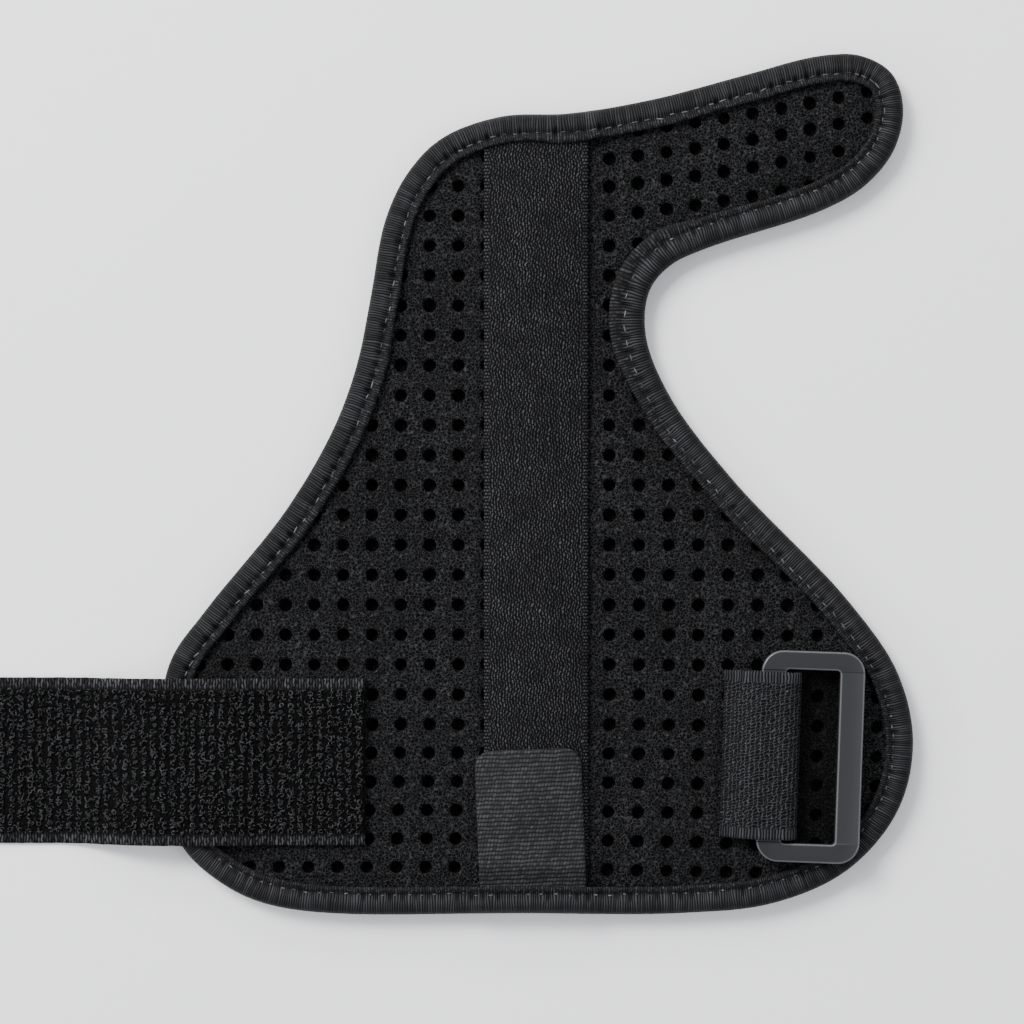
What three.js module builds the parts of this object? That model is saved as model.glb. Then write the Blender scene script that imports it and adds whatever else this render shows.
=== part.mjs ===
// Thumb spica splint, laid out flat with its outer side up. Lengths are in millimetres.
// +X runs from the closure strap towards the buckle, +Y from the hem towards the thumb wing, +Z is up.
import * as THREE from "three";

// Driving dimensions

const gap = 0.3; // clearance between neighbouring pieces

// The panel: a perforated foam sheet over a plain lining
const panelWidth = 181.4;
const panelLength = 206.6;
const foamThickness = 2.5;
const liningThickness = 1.0;

// The edge binding: a tape folded over the edges of foam and lining and sewn through
const tapeWidth = 6.8;
const tapeThickness = 1.0;
const tapePuff = 0.2; // how far the tape swells above its flat height beside the seam
const panelInset = 1.6; // from the binding's outer edge to the edges of foam and lining

// The perforations, as a lattice that starts on each side of the stay strip
const perforationDiameter = 3.0;
const perforationSides = 8;
const rowPitch = 7.1;
const columnPitch = { left: 6.94, right: 7.14 };
const firstColumn = { left: 6.6, right: 4.8 }; // from the edge of the stay strip
const firstRow = 31.9; // from the panel's top
const rowsAboveFirst = 2;
const leaningRows = 3; // from the topmost row, those that climb to the right with the thumb wing
const rowSlope = 0.1; // climb for each millimetre across
const rowRadius = 600; // of the bend in which they climb further
const perforationMargin = 0.6; // foam left between a perforation and whatever covers the panel

// The stay strip: webbing sewn down the middle as a flat sleeve
const stayWidth = 25.0;
const stayThickness = 1.2;
const stayCrown = 1.2; // how high the sleeve stands in the middle
const crownFade = 16.0; // length over which the crown dies out at both ends
const stayAcross = 0.5; // share of the panel's width
const stayEndInset = 12.8; // from the hem to the strip's lower end, below the tab

// The stay tab: grosgrain over the strip's lower end
const tabLength = 36.9;
const tabThickness = 1.0;
const tabCorner = 3.0;
const tabShift = -0.8; // its lower end lies a little to the left of the strip's centre line
const tabLean = THREE.MathUtils.degToRad(2.3);
const tuckInset = 2.5; // how far from the outer edge a tucked end stops

// The closure strap: hook webbing with bare selvedges
const strapWidth = 40.0;
const strapBacking = 1.0;
const strapPile = 0.8;
const strapSelvedge = 2.6;
const strapOverlap = 49.7; // on the panel
const strapFree = 52.3; // beyond the panel
const strapDroop = 24.0; // length over which it comes down from the binding to the floor
const strapClimb = 9.0; // length over which it climbs onto the binding
const strapCorner = 3.0;
const strapAlong = 0.177; // share of the panel's length

// The buckle: a flat moulded ring caught in an elastic loop
const ringSideBar = 5.9;
const ringEndBar = 4.5;
const ringSlotWidth = 12.9;
const ringThickness = 3.0;
const ringCorner = 5.0;
const ringSlotCorner = 0.9;
const ringEdge = 0.5; // rounding along the ring's edges
const ringSlack = 1.5; // how much longer the slot is than the webbing is wide
const ringSetback = 24.8; // from the panel's right edge to the ring's centre
const ringAlong = 0.182; // share of the panel's length
const ringTurn = THREE.MathUtils.degToRad(-2.0);
const loopThickness = 1.2;
const loopSewn = 3.6; // length over which its two legs are sewn together
const loopTail = 8.6; // from the ring's outer edge to the loop's sewn end
const loopSlack = 3.8; // from the caught bar to the outside of the fold

// How finely round shapes are divided
const longestStep = 9.0;
const tuckStep = 3.0;
const largestTurn = THREE.MathUtils.degToRad(21);
const arcSteps = 5;

// The panel's outline, counter-clockwise from the hem, in shares of its width and length
const outline = [
  // The hem
  { across: 0.228, along: 0.0 },
  { across: 0.479, along: 0.0 },
  { across: 0.69, along: 0.0 },
  // The wrist's right corner
  { across: 0.816, along: 0.012 },
  { across: 0.914, along: 0.051 },
  { across: 0.98, along: 0.12 },
  { across: 1.0, along: 0.2 },
  // The right flank
  { across: 0.979, along: 0.281 },
  { across: 0.913, along: 0.365 },
  { across: 0.763, along: 0.503 },
  { across: 0.679, along: 0.6 },
  // The notch below the thumb wing
  { across: 0.646, along: 0.672 },
  { across: 0.651, along: 0.725 },
  { across: 0.68, along: 0.755 },
  { across: 0.733, along: 0.776 },
  // The wing's lower edge and round tip
  { across: 0.876, along: 0.817 },
  { across: 0.935, along: 0.846 },
  { across: 0.974, along: 0.887 },
  { across: 0.987, along: 0.936 },
  { across: 0.972, along: 0.977 },
  { across: 0.931, along: 0.998 },
  // The wing's upper edge
  { across: 0.876, along: 0.998 },
  { across: 0.77, along: 0.974 },
  { across: 0.653, along: 0.947 },
  { across: 0.545, along: 0.931 },
  // The shoulder
  { across: 0.452, along: 0.927 },
  { across: 0.373, along: 0.901 },
  { across: 0.327, along: 0.858 },
  { across: 0.299, along: 0.804 },
  // The left flank
  { across: 0.282, along: 0.725 },
  { across: 0.262, along: 0.638 },
  { across: 0.23, along: 0.562 },
  { across: 0.168, along: 0.469 },
  // The wrist's left corner
  { across: 0.062, along: 0.353 },
  { across: 0.016, along: 0.295 },
  { across: 0.0, along: 0.221 },
  { across: 0.007, along: 0.137 },
  { across: 0.034, along: 0.074 },
  { across: 0.09, along: 0.031 },
  { across: 0.146, along: 0.01 },
];

// Heights of the layers

const liningBottom = tapeThickness + gap;
const foamBottom = liningBottom + liningThickness + gap;
const foamTop = foamBottom + foamThickness;
const onFoam = foamTop + gap; // where whatever lies on the foam begins
const tapeTop = onFoam + tapeThickness;
const bindingTop = tapeTop + tapePuff;
const onBinding = bindingTop + gap;

// Small helpers

const clamp = THREE.MathUtils.clamp;
const smooth = (x, from, to) => THREE.MathUtils.smoothstep(x, Math.min(from, to), Math.max(from, to));
const rising = (x, from, to) => (from < to ? smooth(x, from, to) : 1 - smooth(x, from, to));
const spread = (from, to, steps) =>
  Array.from({ length: steps + 1 }, (_, i) => from + ((to - from) * i) / steps);

// A body from shared corners and triangles, turned so that its faces point out
function closedBody(points, faces) {
  let volume = 0;
  for (let i = 0; i < faces.length; i += 3) {
    const [a, b, c] = [points[faces[i]], points[faces[i + 1]], points[faces[i + 2]]];
    volume += a.dot(new THREE.Vector3().crossVectors(b, c));
  }
  const body = new THREE.BufferGeometry().setFromPoints(points);
  body.setIndex(volume < 0 ? faces.reverse() : faces);
  body.computeVertexNormals();
  return body;
}

// A body lofted through rings of equally many points. An open loft is capped, and its rings then run
// along the underside and back over the top.
function loft(rings, closed) {
  const size = rings[0].length;
  const faces = [];
  const quad = (a, b, c, d) => faces.push(a, b, c, a, c, d);
  const spans = closed ? rings.length : rings.length - 1;
  for (let i = 0; i < spans; i++) {
    const here = i * size;
    const next = ((i + 1) % rings.length) * size;
    for (let j = 0; j < size; j++) {
      const k = (j + 1) % size;
      quad(here + j, here + k, next + k, next + j);
    }
  }
  if (!closed) {
    const last = (rings.length - 1) * size;
    for (let j = 0; j < size / 2 - 1; j++) {
      const [a, b, c, d] = [j, j + 1, size - 2 - j, size - 1 - j];
      quad(a, d, c, b);
      quad(last + a, last + b, last + c, last + d);
    }
  }
  return closedBody(rings.flat(), faces);
}

// A length of webbing. Each station is a share of the half width and a place along the length; each
// column is a share of the half width and what stands on the base there.
function webbing(stations, columns, place, under, thickness) {
  const rings = stations.map(({ at, half }) => {
    const feet = columns.map(({ across }) => place(across * half, at));
    const below = feet.map(({ x, y }) => new THREE.Vector3(x, y, under(x, y)));
    const above = below.map(({ x, y, z }, j) => new THREE.Vector3(x, y, z + thickness + columns[j].rise));
    return [...below, ...above.reverse()];
  });
  return loft(rings, false);
}

// Stations of a length of webbing whose far end has round corners
function roundEnded(nearStations, end, half, corner) {
  const direction = Math.sign(end - nearStations[0]);
  const bends = spread(0, Math.PI / 2, arcSteps).map((angle) => ({
    at: end - direction * corner * (1 - Math.sin(angle)),
    half: half - corner * (1 - Math.cos(angle)),
  }));
  return [...nearStations.map((at) => ({ at, half })), ...bends];
}

const plainColumns = spread(-1, 1, 6).map((across) => ({ across, rise: 0 }));

// The outer edge

const edgeCurve = new THREE.CatmullRomCurve3(
  outline.map(({ across, along }) => new THREE.Vector3(across * panelWidth, along * panelLength, 0)),
  true,
  "centripetal",
);
const fineSteps = 36 * outline.length;
const fineEdge = edgeCurve.getPoints(fineSteps).slice(0, fineSteps);

// Where the upper (or lower) edge crosses a line across the panel
function edgeHeight(x, upper) {
  const crossings = fineEdge.filter((p, i) => {
    const q = fineEdge[(i + 1) % fineSteps];
    return (p.x - x) * (q.x - x) <= 0;
  });
  const heights = crossings.map((p) => p.y);
  return upper ? Math.max(...heights) : Math.min(...heights);
}

const stayX = stayAcross * panelWidth;
const tuckedEnds = [
  { x: stayX, y: edgeHeight(stayX, true), half: stayWidth / 2, lift: stayThickness + gap },
  { x: stayX + tabShift, y: edgeHeight(stayX, false), half: stayWidth / 2, lift: tabThickness + gap },
];

// How far the binding's upper flange is lifted by a strip or tab that is tucked below it
function flangeLift(point) {
  const lifts = tuckedEnds.map(({ x, y, half, lift }) => {
    const beside = Math.abs(point.x - x) - half;
    const near = Math.abs(point.y - y) < 2 * tapeWidth;
    return near ? lift * (1 - smooth(beside, tuckStep, 2.5 * tuckStep)) : 0;
  });
  return Math.max(...lifts);
}

// Stations along the edge, closer where it bends and where an end is tucked in
function edgeStations() {
  const count = fineEdge.length;
  const heading = fineEdge.map((p, i) => {
    const [before, after] = [fineEdge[(i + count - 1) % count], fineEdge[(i + 1) % count]];
    return new THREE.Vector3().subVectors(after, before).normalize();
  });
  const cost = [0];
  for (let i = 1; i <= count; i++) {
    const [p, q] = [fineEdge[i - 1], fineEdge[i % count]];
    const turn = heading[i - 1].angleTo(heading[i % count]);
    const step = flangeLift(p) > 0 ? tuckStep : longestStep;
    cost.push(cost[i - 1] + p.distanceTo(q) / step + turn / largestTurn);
  }
  const stations = Math.ceil(cost[count]);
  return spread(0, stations - 1, stations - 1).map((n) => {
    const i = cost.findIndex((value) => value >= (n * cost[count]) / stations);
    return { point: fineEdge[i], inward: new THREE.Vector3(-heading[i].y, heading[i].x, 0) };
  });
}

const edge = edgeStations();
const insetPoint = ({ point, inward }, distance) => point.clone().addScaledVector(inward, distance);
const insetLoop = (distance) => edge.map((station) => insetPoint(station, distance));

// Distance of a place from the outer edge, positive inside
function depthInside(x, y) {
  const place = new THREE.Vector3(x, y, 0);
  const nearest = fineEdge.reduce((best, p, i) => {
    const distance = p.distanceTo(place);
    return distance < best.distance ? { distance, i } : best;
  }, { distance: Infinity, i: 0 });
  const [p, q] = [fineEdge[nearest.i], fineEdge[(nearest.i + 1) % fineSteps]];
  const side = (q.x - p.x) * (y - p.y) - (q.y - p.y) * (x - p.x);
  return Math.sign(side) * nearest.distance;
}

// The perforations, every second place of the lattice, wherever the panel is bare

const strapY = strapAlong * panelLength;
const ringCentre = new THREE.Vector3(panelWidth - ringSetback, ringAlong * panelLength, 0);
const ringWidth = ringSlotWidth + 2 * ringSideBar;
const ringSlotLength = strapWidth + ringSlack;
const ringLength = ringSlotLength + 2 * ringEndBar;

function isBare(x, y) {
  const clear = perforationDiameter / 2 + perforationMargin;
  const onStrap = x < strapOverlap + clear && Math.abs(y - strapY) < strapWidth / 2 + clear;
  const loopLeft = ringCentre.x - ringWidth / 2 - loopTail - clear;
  const onLoop = Math.abs(y - ringCentre.y) < ringLength / 2 + clear
    && x > loopLeft && x < ringCentre.x + ringWidth / 2 + clear;
  return !onStrap && !onLoop && depthInside(x, y) > tapeWidth + clear;
}

function perforations() {
  const places = [];
  const rows = Math.ceil(panelLength / rowPitch);
  const columns = Math.ceil(panelWidth / columnPitch.left / 2);
  for (const side of ["left", "right"]) {
    const sign = side === "right" ? 1 : -1;
    for (let row = -rowsAboveFirst; row < rows; row++) {
      for (let column = 0; column < columns; column++) {
        const across = stayWidth / 2 + firstColumn[side] + column * columnPitch[side];
        const beyond = column * columnPitch[side];
        const leans = side === "right" && row + rowsAboveFirst <= leaningRows;
        const climb = leans ? rowSlope * beyond + beyond ** 2 / (2 * rowRadius) : 0;
        const x = stayX + sign * across;
        const y = panelLength - firstRow - row * rowPitch + climb;
        if ((row + column + rows) % 2 === 0 && isBare(x, y)) {
          places.push({ x, y });
        }
      }
    }
  }
  return places;
}

function roundHole({ x, y }) {
  const corners = spread(0, 2 * Math.PI, perforationSides).slice(0, perforationSides);
  const radius = perforationDiameter / 2;
  const rim = corners.map((angle) => [x + radius * Math.cos(angle), y + radius * Math.sin(angle)]);
  return new THREE.Path(rim.map(([u, v]) => new THREE.Vector2(u, v)));
}

// The pieces

function flatLayer(bottom, thickness, holes) {
  const shape = new THREE.Shape(insetLoop(panelInset).map(({ x, y }) => new THREE.Vector2(x, y)));
  shape.holes = holes;
  const layer = new THREE.ExtrudeGeometry(shape, { depth: thickness, bevelEnabled: false });
  return layer.translate(0, 0, bottom);
}

// The binding's section: inset from the outer edge, height, and how much of a tucked end's lift it takes
function bindingSection() {
  const cheek = 1.1 * tapeThickness; // at the fold the tape doesn't quite reach the foam
  const middle = tapeTop / 2;
  return [
    { inset: tapeWidth, height: 0, lifts: 0 },
    { inset: 0.3 * tapeWidth, height: 0, lifts: 0 },
    { inset: 0.08 * tapeWidth, height: 0.1 * tapeTop, lifts: 0 },
    { inset: 0, height: middle, lifts: 0 },
    { inset: 0.08 * tapeWidth, height: 0.9 * tapeTop, lifts: 0.5 },
    { inset: 0.3 * tapeWidth, height: bindingTop, lifts: 1 },
    { inset: 0.55 * tapeWidth, height: bindingTop, lifts: 1 },
    { inset: 0.72 * tapeWidth, height: tapeTop - tapePuff, lifts: 1 },
    { inset: 0.86 * tapeWidth, height: tapeTop, lifts: 1 },
    { inset: tapeWidth, height: tapeTop - tapePuff, lifts: 1 },
    { inset: tapeWidth, height: onFoam, lifts: 1 },
    { inset: 1.4 * cheek, height: onFoam, lifts: 1 },
    { inset: cheek, height: middle, lifts: 0 },
    { inset: 1.4 * cheek, height: tapeThickness, lifts: 0 },
    { inset: tapeWidth, height: tapeThickness, lifts: 0 },
  ];
}

function edgeBinding() {
  const section = bindingSection();
  const rings = edge.map((station) => {
    const lift = flangeLift(station.point);
    return section.map(({ inset, height, lifts }) => {
      const { x, y } = insetPoint(station, inset);
      return new THREE.Vector3(x, y, height + lifts * lift);
    });
  });
  return loft(rings, true);
}

const stayLow = edgeHeight(stayX, false) + stayEndInset;
const stayCorners = [-stayWidth / 2, 0, stayWidth / 2].map((across) => edgeHeight(stayX + across, true));
const stayHigh = Math.min(...stayCorners) - tuckInset;

// The height of the sleeve's hollow over a place on the panel
function crownAt(x, y) {
  const across = clamp((2 * (x - stayX)) / stayWidth, -1, 1);
  const along = rising(y, stayLow, stayLow + crownFade) * rising(y, stayHigh, stayHigh - crownFade);
  return stayCrown * (1 - across ** 2) * along;
}

function stayStrip() {
  const steps = [
    ...spread(stayLow, stayLow + crownFade, 4),
    ...spread(stayHigh - crownFade, stayHigh, 4),
  ];
  const stations = steps.map((at) => ({ at, half: stayWidth / 2 }));
  const place = (across, at) => ({ x: stayX + across, y: at });
  return webbing(stations, plainColumns, place, (x, y) => onFoam + crownAt(x, y), stayThickness);
}

function stayTab() {
  const foot = { x: stayX + tabShift, y: edgeHeight(stayX, false) + tuckInset };
  const climbEnd = stayLow - gap;
  const climbStart = edgeHeight(stayX, false) + tapeWidth + gap;
  const steps = [0, ...spread(climbStart - foot.y, climbEnd - foot.y, 2)];
  const nearStations = [...steps, ...spread(climbEnd - foot.y, tabLength - tabCorner, 5).slice(1, 5)];
  const stations = roundEnded(nearStations, tabLength, stayWidth / 2, tabCorner);
  const place = (across, at) => ({
    x: foot.x + across * Math.cos(tabLean) - at * Math.sin(tabLean),
    y: foot.y + across * Math.sin(tabLean) + at * Math.cos(tabLean),
  });
  const slant = (stayWidth / 2) * Math.sin(tabLean);
  const under = (x, y) => {
    const climb = rising(y, climbStart, climbEnd - slant);
    return onFoam + climb * (stayThickness + gap) + crownAt(x, y);
  };
  return webbing(stations, plainColumns, place, under, tabThickness);
}

function closureStrap() {
  const half = strapWidth / 2;
  const nearEdge = fineEdge.filter(({ x, y }) => Math.abs(y - strapY) < half + tapeWidth && x < panelWidth / 2);
  const innermost = Math.max(...nearEdge.map(({ x }) => x)) + tapeWidth;
  const outermost = Math.min(...nearEdge.map(({ x }) => x));
  const under = (x) => {
    const overBinding = onFoam + (onBinding - onFoam) * rising(x, innermost + strapClimb, innermost + gap);
    return overBinding * rising(x, outermost - strapDroop, outermost - gap);
  };
  const pile = 1 - strapSelvedge / half;
  const wall = 0.02;
  const columns = [
    { across: -1, rise: 0 },
    { across: -pile - wall, rise: 0 },
    { across: -pile, rise: strapPile },
    { across: 0, rise: strapPile },
    { across: pile, rise: strapPile },
    { across: pile + wall, rise: 0 },
    { across: 1, rise: 0 },
  ];
  const nearStations = [
    strapOverlap,
    ...spread(innermost + strapClimb, innermost + gap, 4),
    ...spread(outermost - gap, outermost - strapDroop, 8),
  ];
  const stations = roundEnded(nearStations, -strapFree, half, strapCorner);
  const place = (across, at) => ({ x: at, y: strapY + across });
  return webbing(stations, columns, place, under, strapBacking);
}

// A rectangle with round corners, about the origin
function roundedRectangle(Outline, width, length, corner) {
  const [right, top] = [width / 2, length / 2];
  const r = corner;
  const rectangle = new Outline();
  rectangle.moveTo(right, -top + r);
  rectangle.lineTo(right, top - r);
  rectangle.absarc(right - r, top - r, r, 0, Math.PI / 2);
  rectangle.absarc(-right + r, top - r, r, Math.PI / 2, Math.PI);
  rectangle.absarc(-right + r, -top + r, r, Math.PI, 1.5 * Math.PI);
  rectangle.absarc(right - r, -top + r, r, 1.5 * Math.PI, 2 * Math.PI);
  return rectangle;
}

const loopUnderside = Math.max(onFoam, onBinding - gap - loopThickness);
const ringBottom = loopUnderside + loopThickness + gap;

function buckleRing() {
  const shape = roundedRectangle(THREE.Shape, ringWidth, ringLength, ringCorner);
  shape.holes = [roundedRectangle(THREE.Path, ringSlotWidth, ringSlotLength, ringSlotCorner)];
  const ring = new THREE.ExtrudeGeometry(shape, {
    depth: ringThickness - 2 * ringEdge,
    curveSegments: arcSteps,
    bevelThickness: ringEdge,
    bevelSize: ringEdge,
    bevelOffset: -ringEdge,
    bevelSegments: 2,
  });
  return ring.translate(0, 0, ringBottom + ringEdge);
}

// The elastic loop in side view: two legs sewn together at the tail, and an eye round the caught bar
function ringLoop() {
  const barLeft = -ringWidth / 2;
  const tail = barLeft - loopTail;
  const fold = -ringSlotWidth / 2 + loopSlack;
  const eyeLow = loopUnderside + loopThickness;
  const eyeHigh = ringBottom + ringThickness + gap;
  const top = eyeHigh + loopThickness;
  const middle = (loopUnderside + top) / 2;
  const outerRadius = (top - loopUnderside) / 2;
  const innerRadius = (eyeHigh - eyeLow) / 2;
  const bend = fold - outerRadius;
  const shoulder = barLeft - gap;
  const eyeTip = tail + loopSewn;

  const side = new THREE.Shape();
  side.moveTo(tail, loopUnderside);
  side.lineTo(bend, loopUnderside);
  side.absarc(bend, middle, outerRadius, -Math.PI / 2, Math.PI / 2);
  side.lineTo(shoulder, top);
  side.bezierCurveTo(shoulder - 0.4 * loopTail, top, tail + 0.5 * loopTail, eyeLow + loopThickness,
    tail, eyeLow + loopThickness);
  const eye = new THREE.Path();
  eye.moveTo(eyeTip, eyeLow + gap / 2);
  eye.lineTo(eyeTip + gap, eyeLow);
  eye.lineTo(bend, eyeLow);
  eye.absarc(bend, middle, innerRadius, -Math.PI / 2, Math.PI / 2);
  eye.lineTo(shoulder, eyeHigh);
  side.holes = [eye];

  const loop = new THREE.ExtrudeGeometry(side, {
    depth: strapWidth,
    curveSegments: 2 * arcSteps,
    bevelEnabled: false,
  });
  return loop.rotateX(Math.PI / 2).translate(0, strapWidth / 2, 0);
}

// The assembly

function piece(name, geometry, color, roughness) {
  const material = new THREE.MeshStandardMaterial({ color, roughness, metalness: 0 });
  const mesh = new THREE.Mesh(geometry, material);
  mesh.name = name;
  return mesh;
}

const holes = perforations().map(roundHole);
const buckle = new THREE.Group();
buckle.add(
  piece("buckle_ring", buckleRing(), 0x3f4144, 0.45),
  piece("ring_loop", ringLoop(), 0x1f1f21, 0.95),
);
buckle.position.copy(ringCentre);
buckle.rotation.z = ringTurn;

const splint = new THREE.Group();
splint.add(
  piece("perforated_panel", flatLayer(foamBottom, foamThickness, holes), 0x1b1b1c, 0.9),
  piece("lining", flatLayer(liningBottom, liningThickness, []), 0x151516, 0.95),
  piece("edge_binding", edgeBinding(), 0x29292a, 0.9),
  piece("stay_strip", stayStrip(), 0x212122, 0.9),
  piece("stay_tab", stayTab(), 0x39393b, 0.85),
  piece("closure_strap", closureStrap(), 0x1d1d1e, 0.95),
  buckle,
);

// The origin lies in the middle of the whole part, on the surface that it rests on
const middle = new THREE.Box3().setFromObject(splint).getCenter(new THREE.Vector3());
splint.position.set(-middle.x, -middle.y, 0);

export default splint;
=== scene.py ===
"""Thumb spica splint laid out flat on a pale table: foam, tape, webbing and plastic round the frame."""
import math
import random

import bmesh
import bpy
import numpy as np
from bpy.props import FloatProperty, FloatVectorProperty, PointerProperty
from mathutils import Matrix, Vector, noise


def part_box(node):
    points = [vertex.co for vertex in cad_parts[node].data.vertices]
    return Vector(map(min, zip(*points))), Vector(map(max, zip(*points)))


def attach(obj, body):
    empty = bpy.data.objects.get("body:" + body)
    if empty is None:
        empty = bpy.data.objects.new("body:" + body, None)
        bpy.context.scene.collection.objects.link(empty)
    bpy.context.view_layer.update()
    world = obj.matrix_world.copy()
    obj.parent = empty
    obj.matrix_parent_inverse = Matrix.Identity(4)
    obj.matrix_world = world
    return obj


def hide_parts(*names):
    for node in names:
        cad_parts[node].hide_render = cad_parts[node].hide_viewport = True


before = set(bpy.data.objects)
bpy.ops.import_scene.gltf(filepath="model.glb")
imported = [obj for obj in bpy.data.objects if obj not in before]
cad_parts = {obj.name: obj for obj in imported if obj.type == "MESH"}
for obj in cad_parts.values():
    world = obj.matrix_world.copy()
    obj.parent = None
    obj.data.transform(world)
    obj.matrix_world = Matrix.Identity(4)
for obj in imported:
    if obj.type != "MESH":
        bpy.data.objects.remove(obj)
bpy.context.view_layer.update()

bl_info = {
    "name": "Thumb Spica Splint",
    "version": (1, 0, 0),
    "blender": (4, 5, 0),
    "location": "3D View > Sidebar > Splint",
    "description": "Makes a perforated wrist and thumb splint with its binding, webbing and ring",
    "category": "Add Mesh",
}

MM = 0.001
SEED = 7

# Places read from the frame, in metres

PANEL_LOW, PANEL_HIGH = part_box("edge_binding")
FOAM_LOW, FOAM_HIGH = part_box("perforated_panel")
LINING_LOW, LINING_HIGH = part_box("lining")
STRIP_LOW, STRIP_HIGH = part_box("stay_strip")
STRAP_LOW, STRAP_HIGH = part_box("closure_strap")
RING_LOW, RING_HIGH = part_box("buckle_ring")
LOOP_LOW, LOOP_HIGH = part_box("ring_loop")

GAP = 0.3 * MM  # between neighbouring pieces
PANEL_INSET = 1.6 * MM  # from the binding's outer edge to the edges of foam and lining
TAPE_WIDTH = 6.8 * MM
ON_FOAM = FOAM_HIGH.z + GAP
STRIP_X = (STRIP_LOW.x + STRIP_HIGH.x) / 2
STRIP_WIDTH = STRIP_HIGH.x - STRIP_LOW.x
STRAP_Y = (STRAP_LOW.y + STRAP_HIGH.y) / 2
STRAP_HALF = (STRAP_HIGH.y - STRAP_LOW.y) / 2
RING_SHIFT = Vector((-0.4 * MM, 0.4 * MM, 0))  # the photo has ring and loop this far from the frame's
RING_CENTRE = Vector(((RING_LOW.x + RING_HIGH.x) / 2, (RING_LOW.y + RING_HIGH.y) / 2, 0)) + RING_SHIFT
RING_TURN = math.radians(-2.0)
RING_PLACE = Matrix.Translation(RING_CENTRE) @ Matrix.Rotation(RING_TURN, 4, "Z")
TAB_LEAN = math.radians(2.3)


def linear(code):
    """An sRGB hex colour as linear RGBA."""
    channels = [int(code[i:i + 2], 16) / 255 for i in (1, 3, 5)]
    bent = [c / 12.92 if c <= 0.04045 else ((c + 0.055) / 1.055) ** 2.4 for c in channels]
    return (*bent, 1.0)


def colour(name, code, note):
    """A colour that the user can set, with an sRGB hex value as its default."""
    return FloatVectorProperty(name=name, description=note, subtype="COLOR", size=4, min=0, max=1,
                               default=linear(code))


def length(name, value_mm, note):
    """A length that the user can set, with its default in millimetres."""
    return FloatProperty(name=name, description=note, unit="LENGTH", default=value_mm * MM, min=0.0)


def smoothstep(x, low, high):
    """A soft step from 0 at low to 1 at high."""
    t = np.clip((x - low) / (high - low), 0.0, 1.0)
    return t * t * (3 - 2 * t)


# Paths

def loop_of_layer(node, height):
    """The corners round a flat CAD layer's edge at one height, in order and counter-clockwise."""
    bm = bmesh.new()
    bm.from_mesh(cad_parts[node].data)
    bmesh.ops.remove_doubles(bm, verts=bm.verts, dist=1e-6)
    at_height = [v for v in bm.verts if abs(v.co.z - height) < 1e-5]
    rim = [v for v in at_height if any(abs(e.other_vert(v).co.z - height) > 1e-5 for e in v.link_edges)]
    start, ordered, seen = rim[0], [], set()
    rim_set = set(rim)
    vert = start
    while vert is not None:
        ordered.append(vert.co.copy())
        seen.add(vert)
        wall = [e for e in vert.link_edges if any(abs(f.normal.z) < 0.5 for f in e.link_faces)]
        level = [e.other_vert(vert) for e in wall if abs(e.other_vert(vert).co.z - height) < 1e-5]
        vert = next((v for v in level if v in rim_set and v not in seen), None)
    bm.free()
    points = np.array([(p.x, p.y) for p in ordered])
    ahead = np.roll(points, -1, axis=0)
    area = (points[:, 0] * ahead[:, 1] - ahead[:, 0] * points[:, 1]).sum() / 2
    return points if area > 0 else points[::-1]


def smooth_closed(points, step):
    """A closed smooth curve through the points, sampled evenly."""
    a, b, c, d = (np.roll(points, k, axis=0) for k in (1, 0, -1, -2))
    t = np.linspace(0, 1, 24, endpoint=False)[None, :, None]
    chord = np.linalg.norm(c - b, axis=1)[:, None]
    before = np.linalg.norm(b - a, axis=1)[:, None]
    after = np.linalg.norm(d - c, axis=1)[:, None]
    leave = ((c - a) / (before + chord) * chord)[:, None, :]
    arrive = ((d - b) / (chord + after) * chord)[:, None, :]
    b, c = b[:, None, :], c[:, None, :]
    curve = ((2 * t**3 - 3 * t**2 + 1) * b + (t**3 - 2 * t**2 + t) * leave
             + (3 * t**2 - 2 * t**3) * c + (t**3 - t**2) * arrive).reshape(-1, 2)
    closed = np.vstack([curve, curve[:1]])
    walked = np.concatenate([[0], np.cumsum(np.linalg.norm(np.diff(closed, axis=0), axis=1))])
    count = round(walked[-1] / step)
    at = np.arange(count) * walked[-1] / count
    return np.stack([np.interp(at, walked, closed[:, k]) for k in (0, 1)], axis=1), walked[-1]


def inward_of(path):
    """Unit normals to the inside of a counter-clockwise path, smoothed a little."""
    along = np.roll(path, -3, axis=0) - np.roll(path, 3, axis=0)
    along /= np.linalg.norm(along, axis=1)[:, None]
    return np.stack([-along[:, 1], along[:, 0]], axis=1)


# The outer edge of the splint, in even small steps, with its inward normals
RIM = loop_of_layer("lining", LINING_HIGH.z)
EDGE_STEP = 0.5 * MM


def outer_edge():
    """The outline of the binding: the rim of the lining, moved outwards and spaced evenly again."""
    path, _ = smooth_closed(RIM, EDGE_STEP)
    outer = path - PANEL_INSET * inward_of(path)
    even, perimeter = smooth_closed(outer[::4], EDGE_STEP)
    return even, inward_of(even), perimeter


EDGE, EDGE_INWARD, PERIMETER = outer_edge()


def hollow_bends(reach=10, full=0.4):
    """For each place along the edge: 0 where it is straight or round, up to 1 where it bends inwards."""
    before, after = np.roll(EDGE_INWARD, reach, axis=0), np.roll(EDGE_INWARD, -reach, axis=0)
    turn = before[:, 0] * after[:, 1] - before[:, 1] * after[:, 0]
    return np.clip(-turn / full, 0.0, 1.0)


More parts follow.
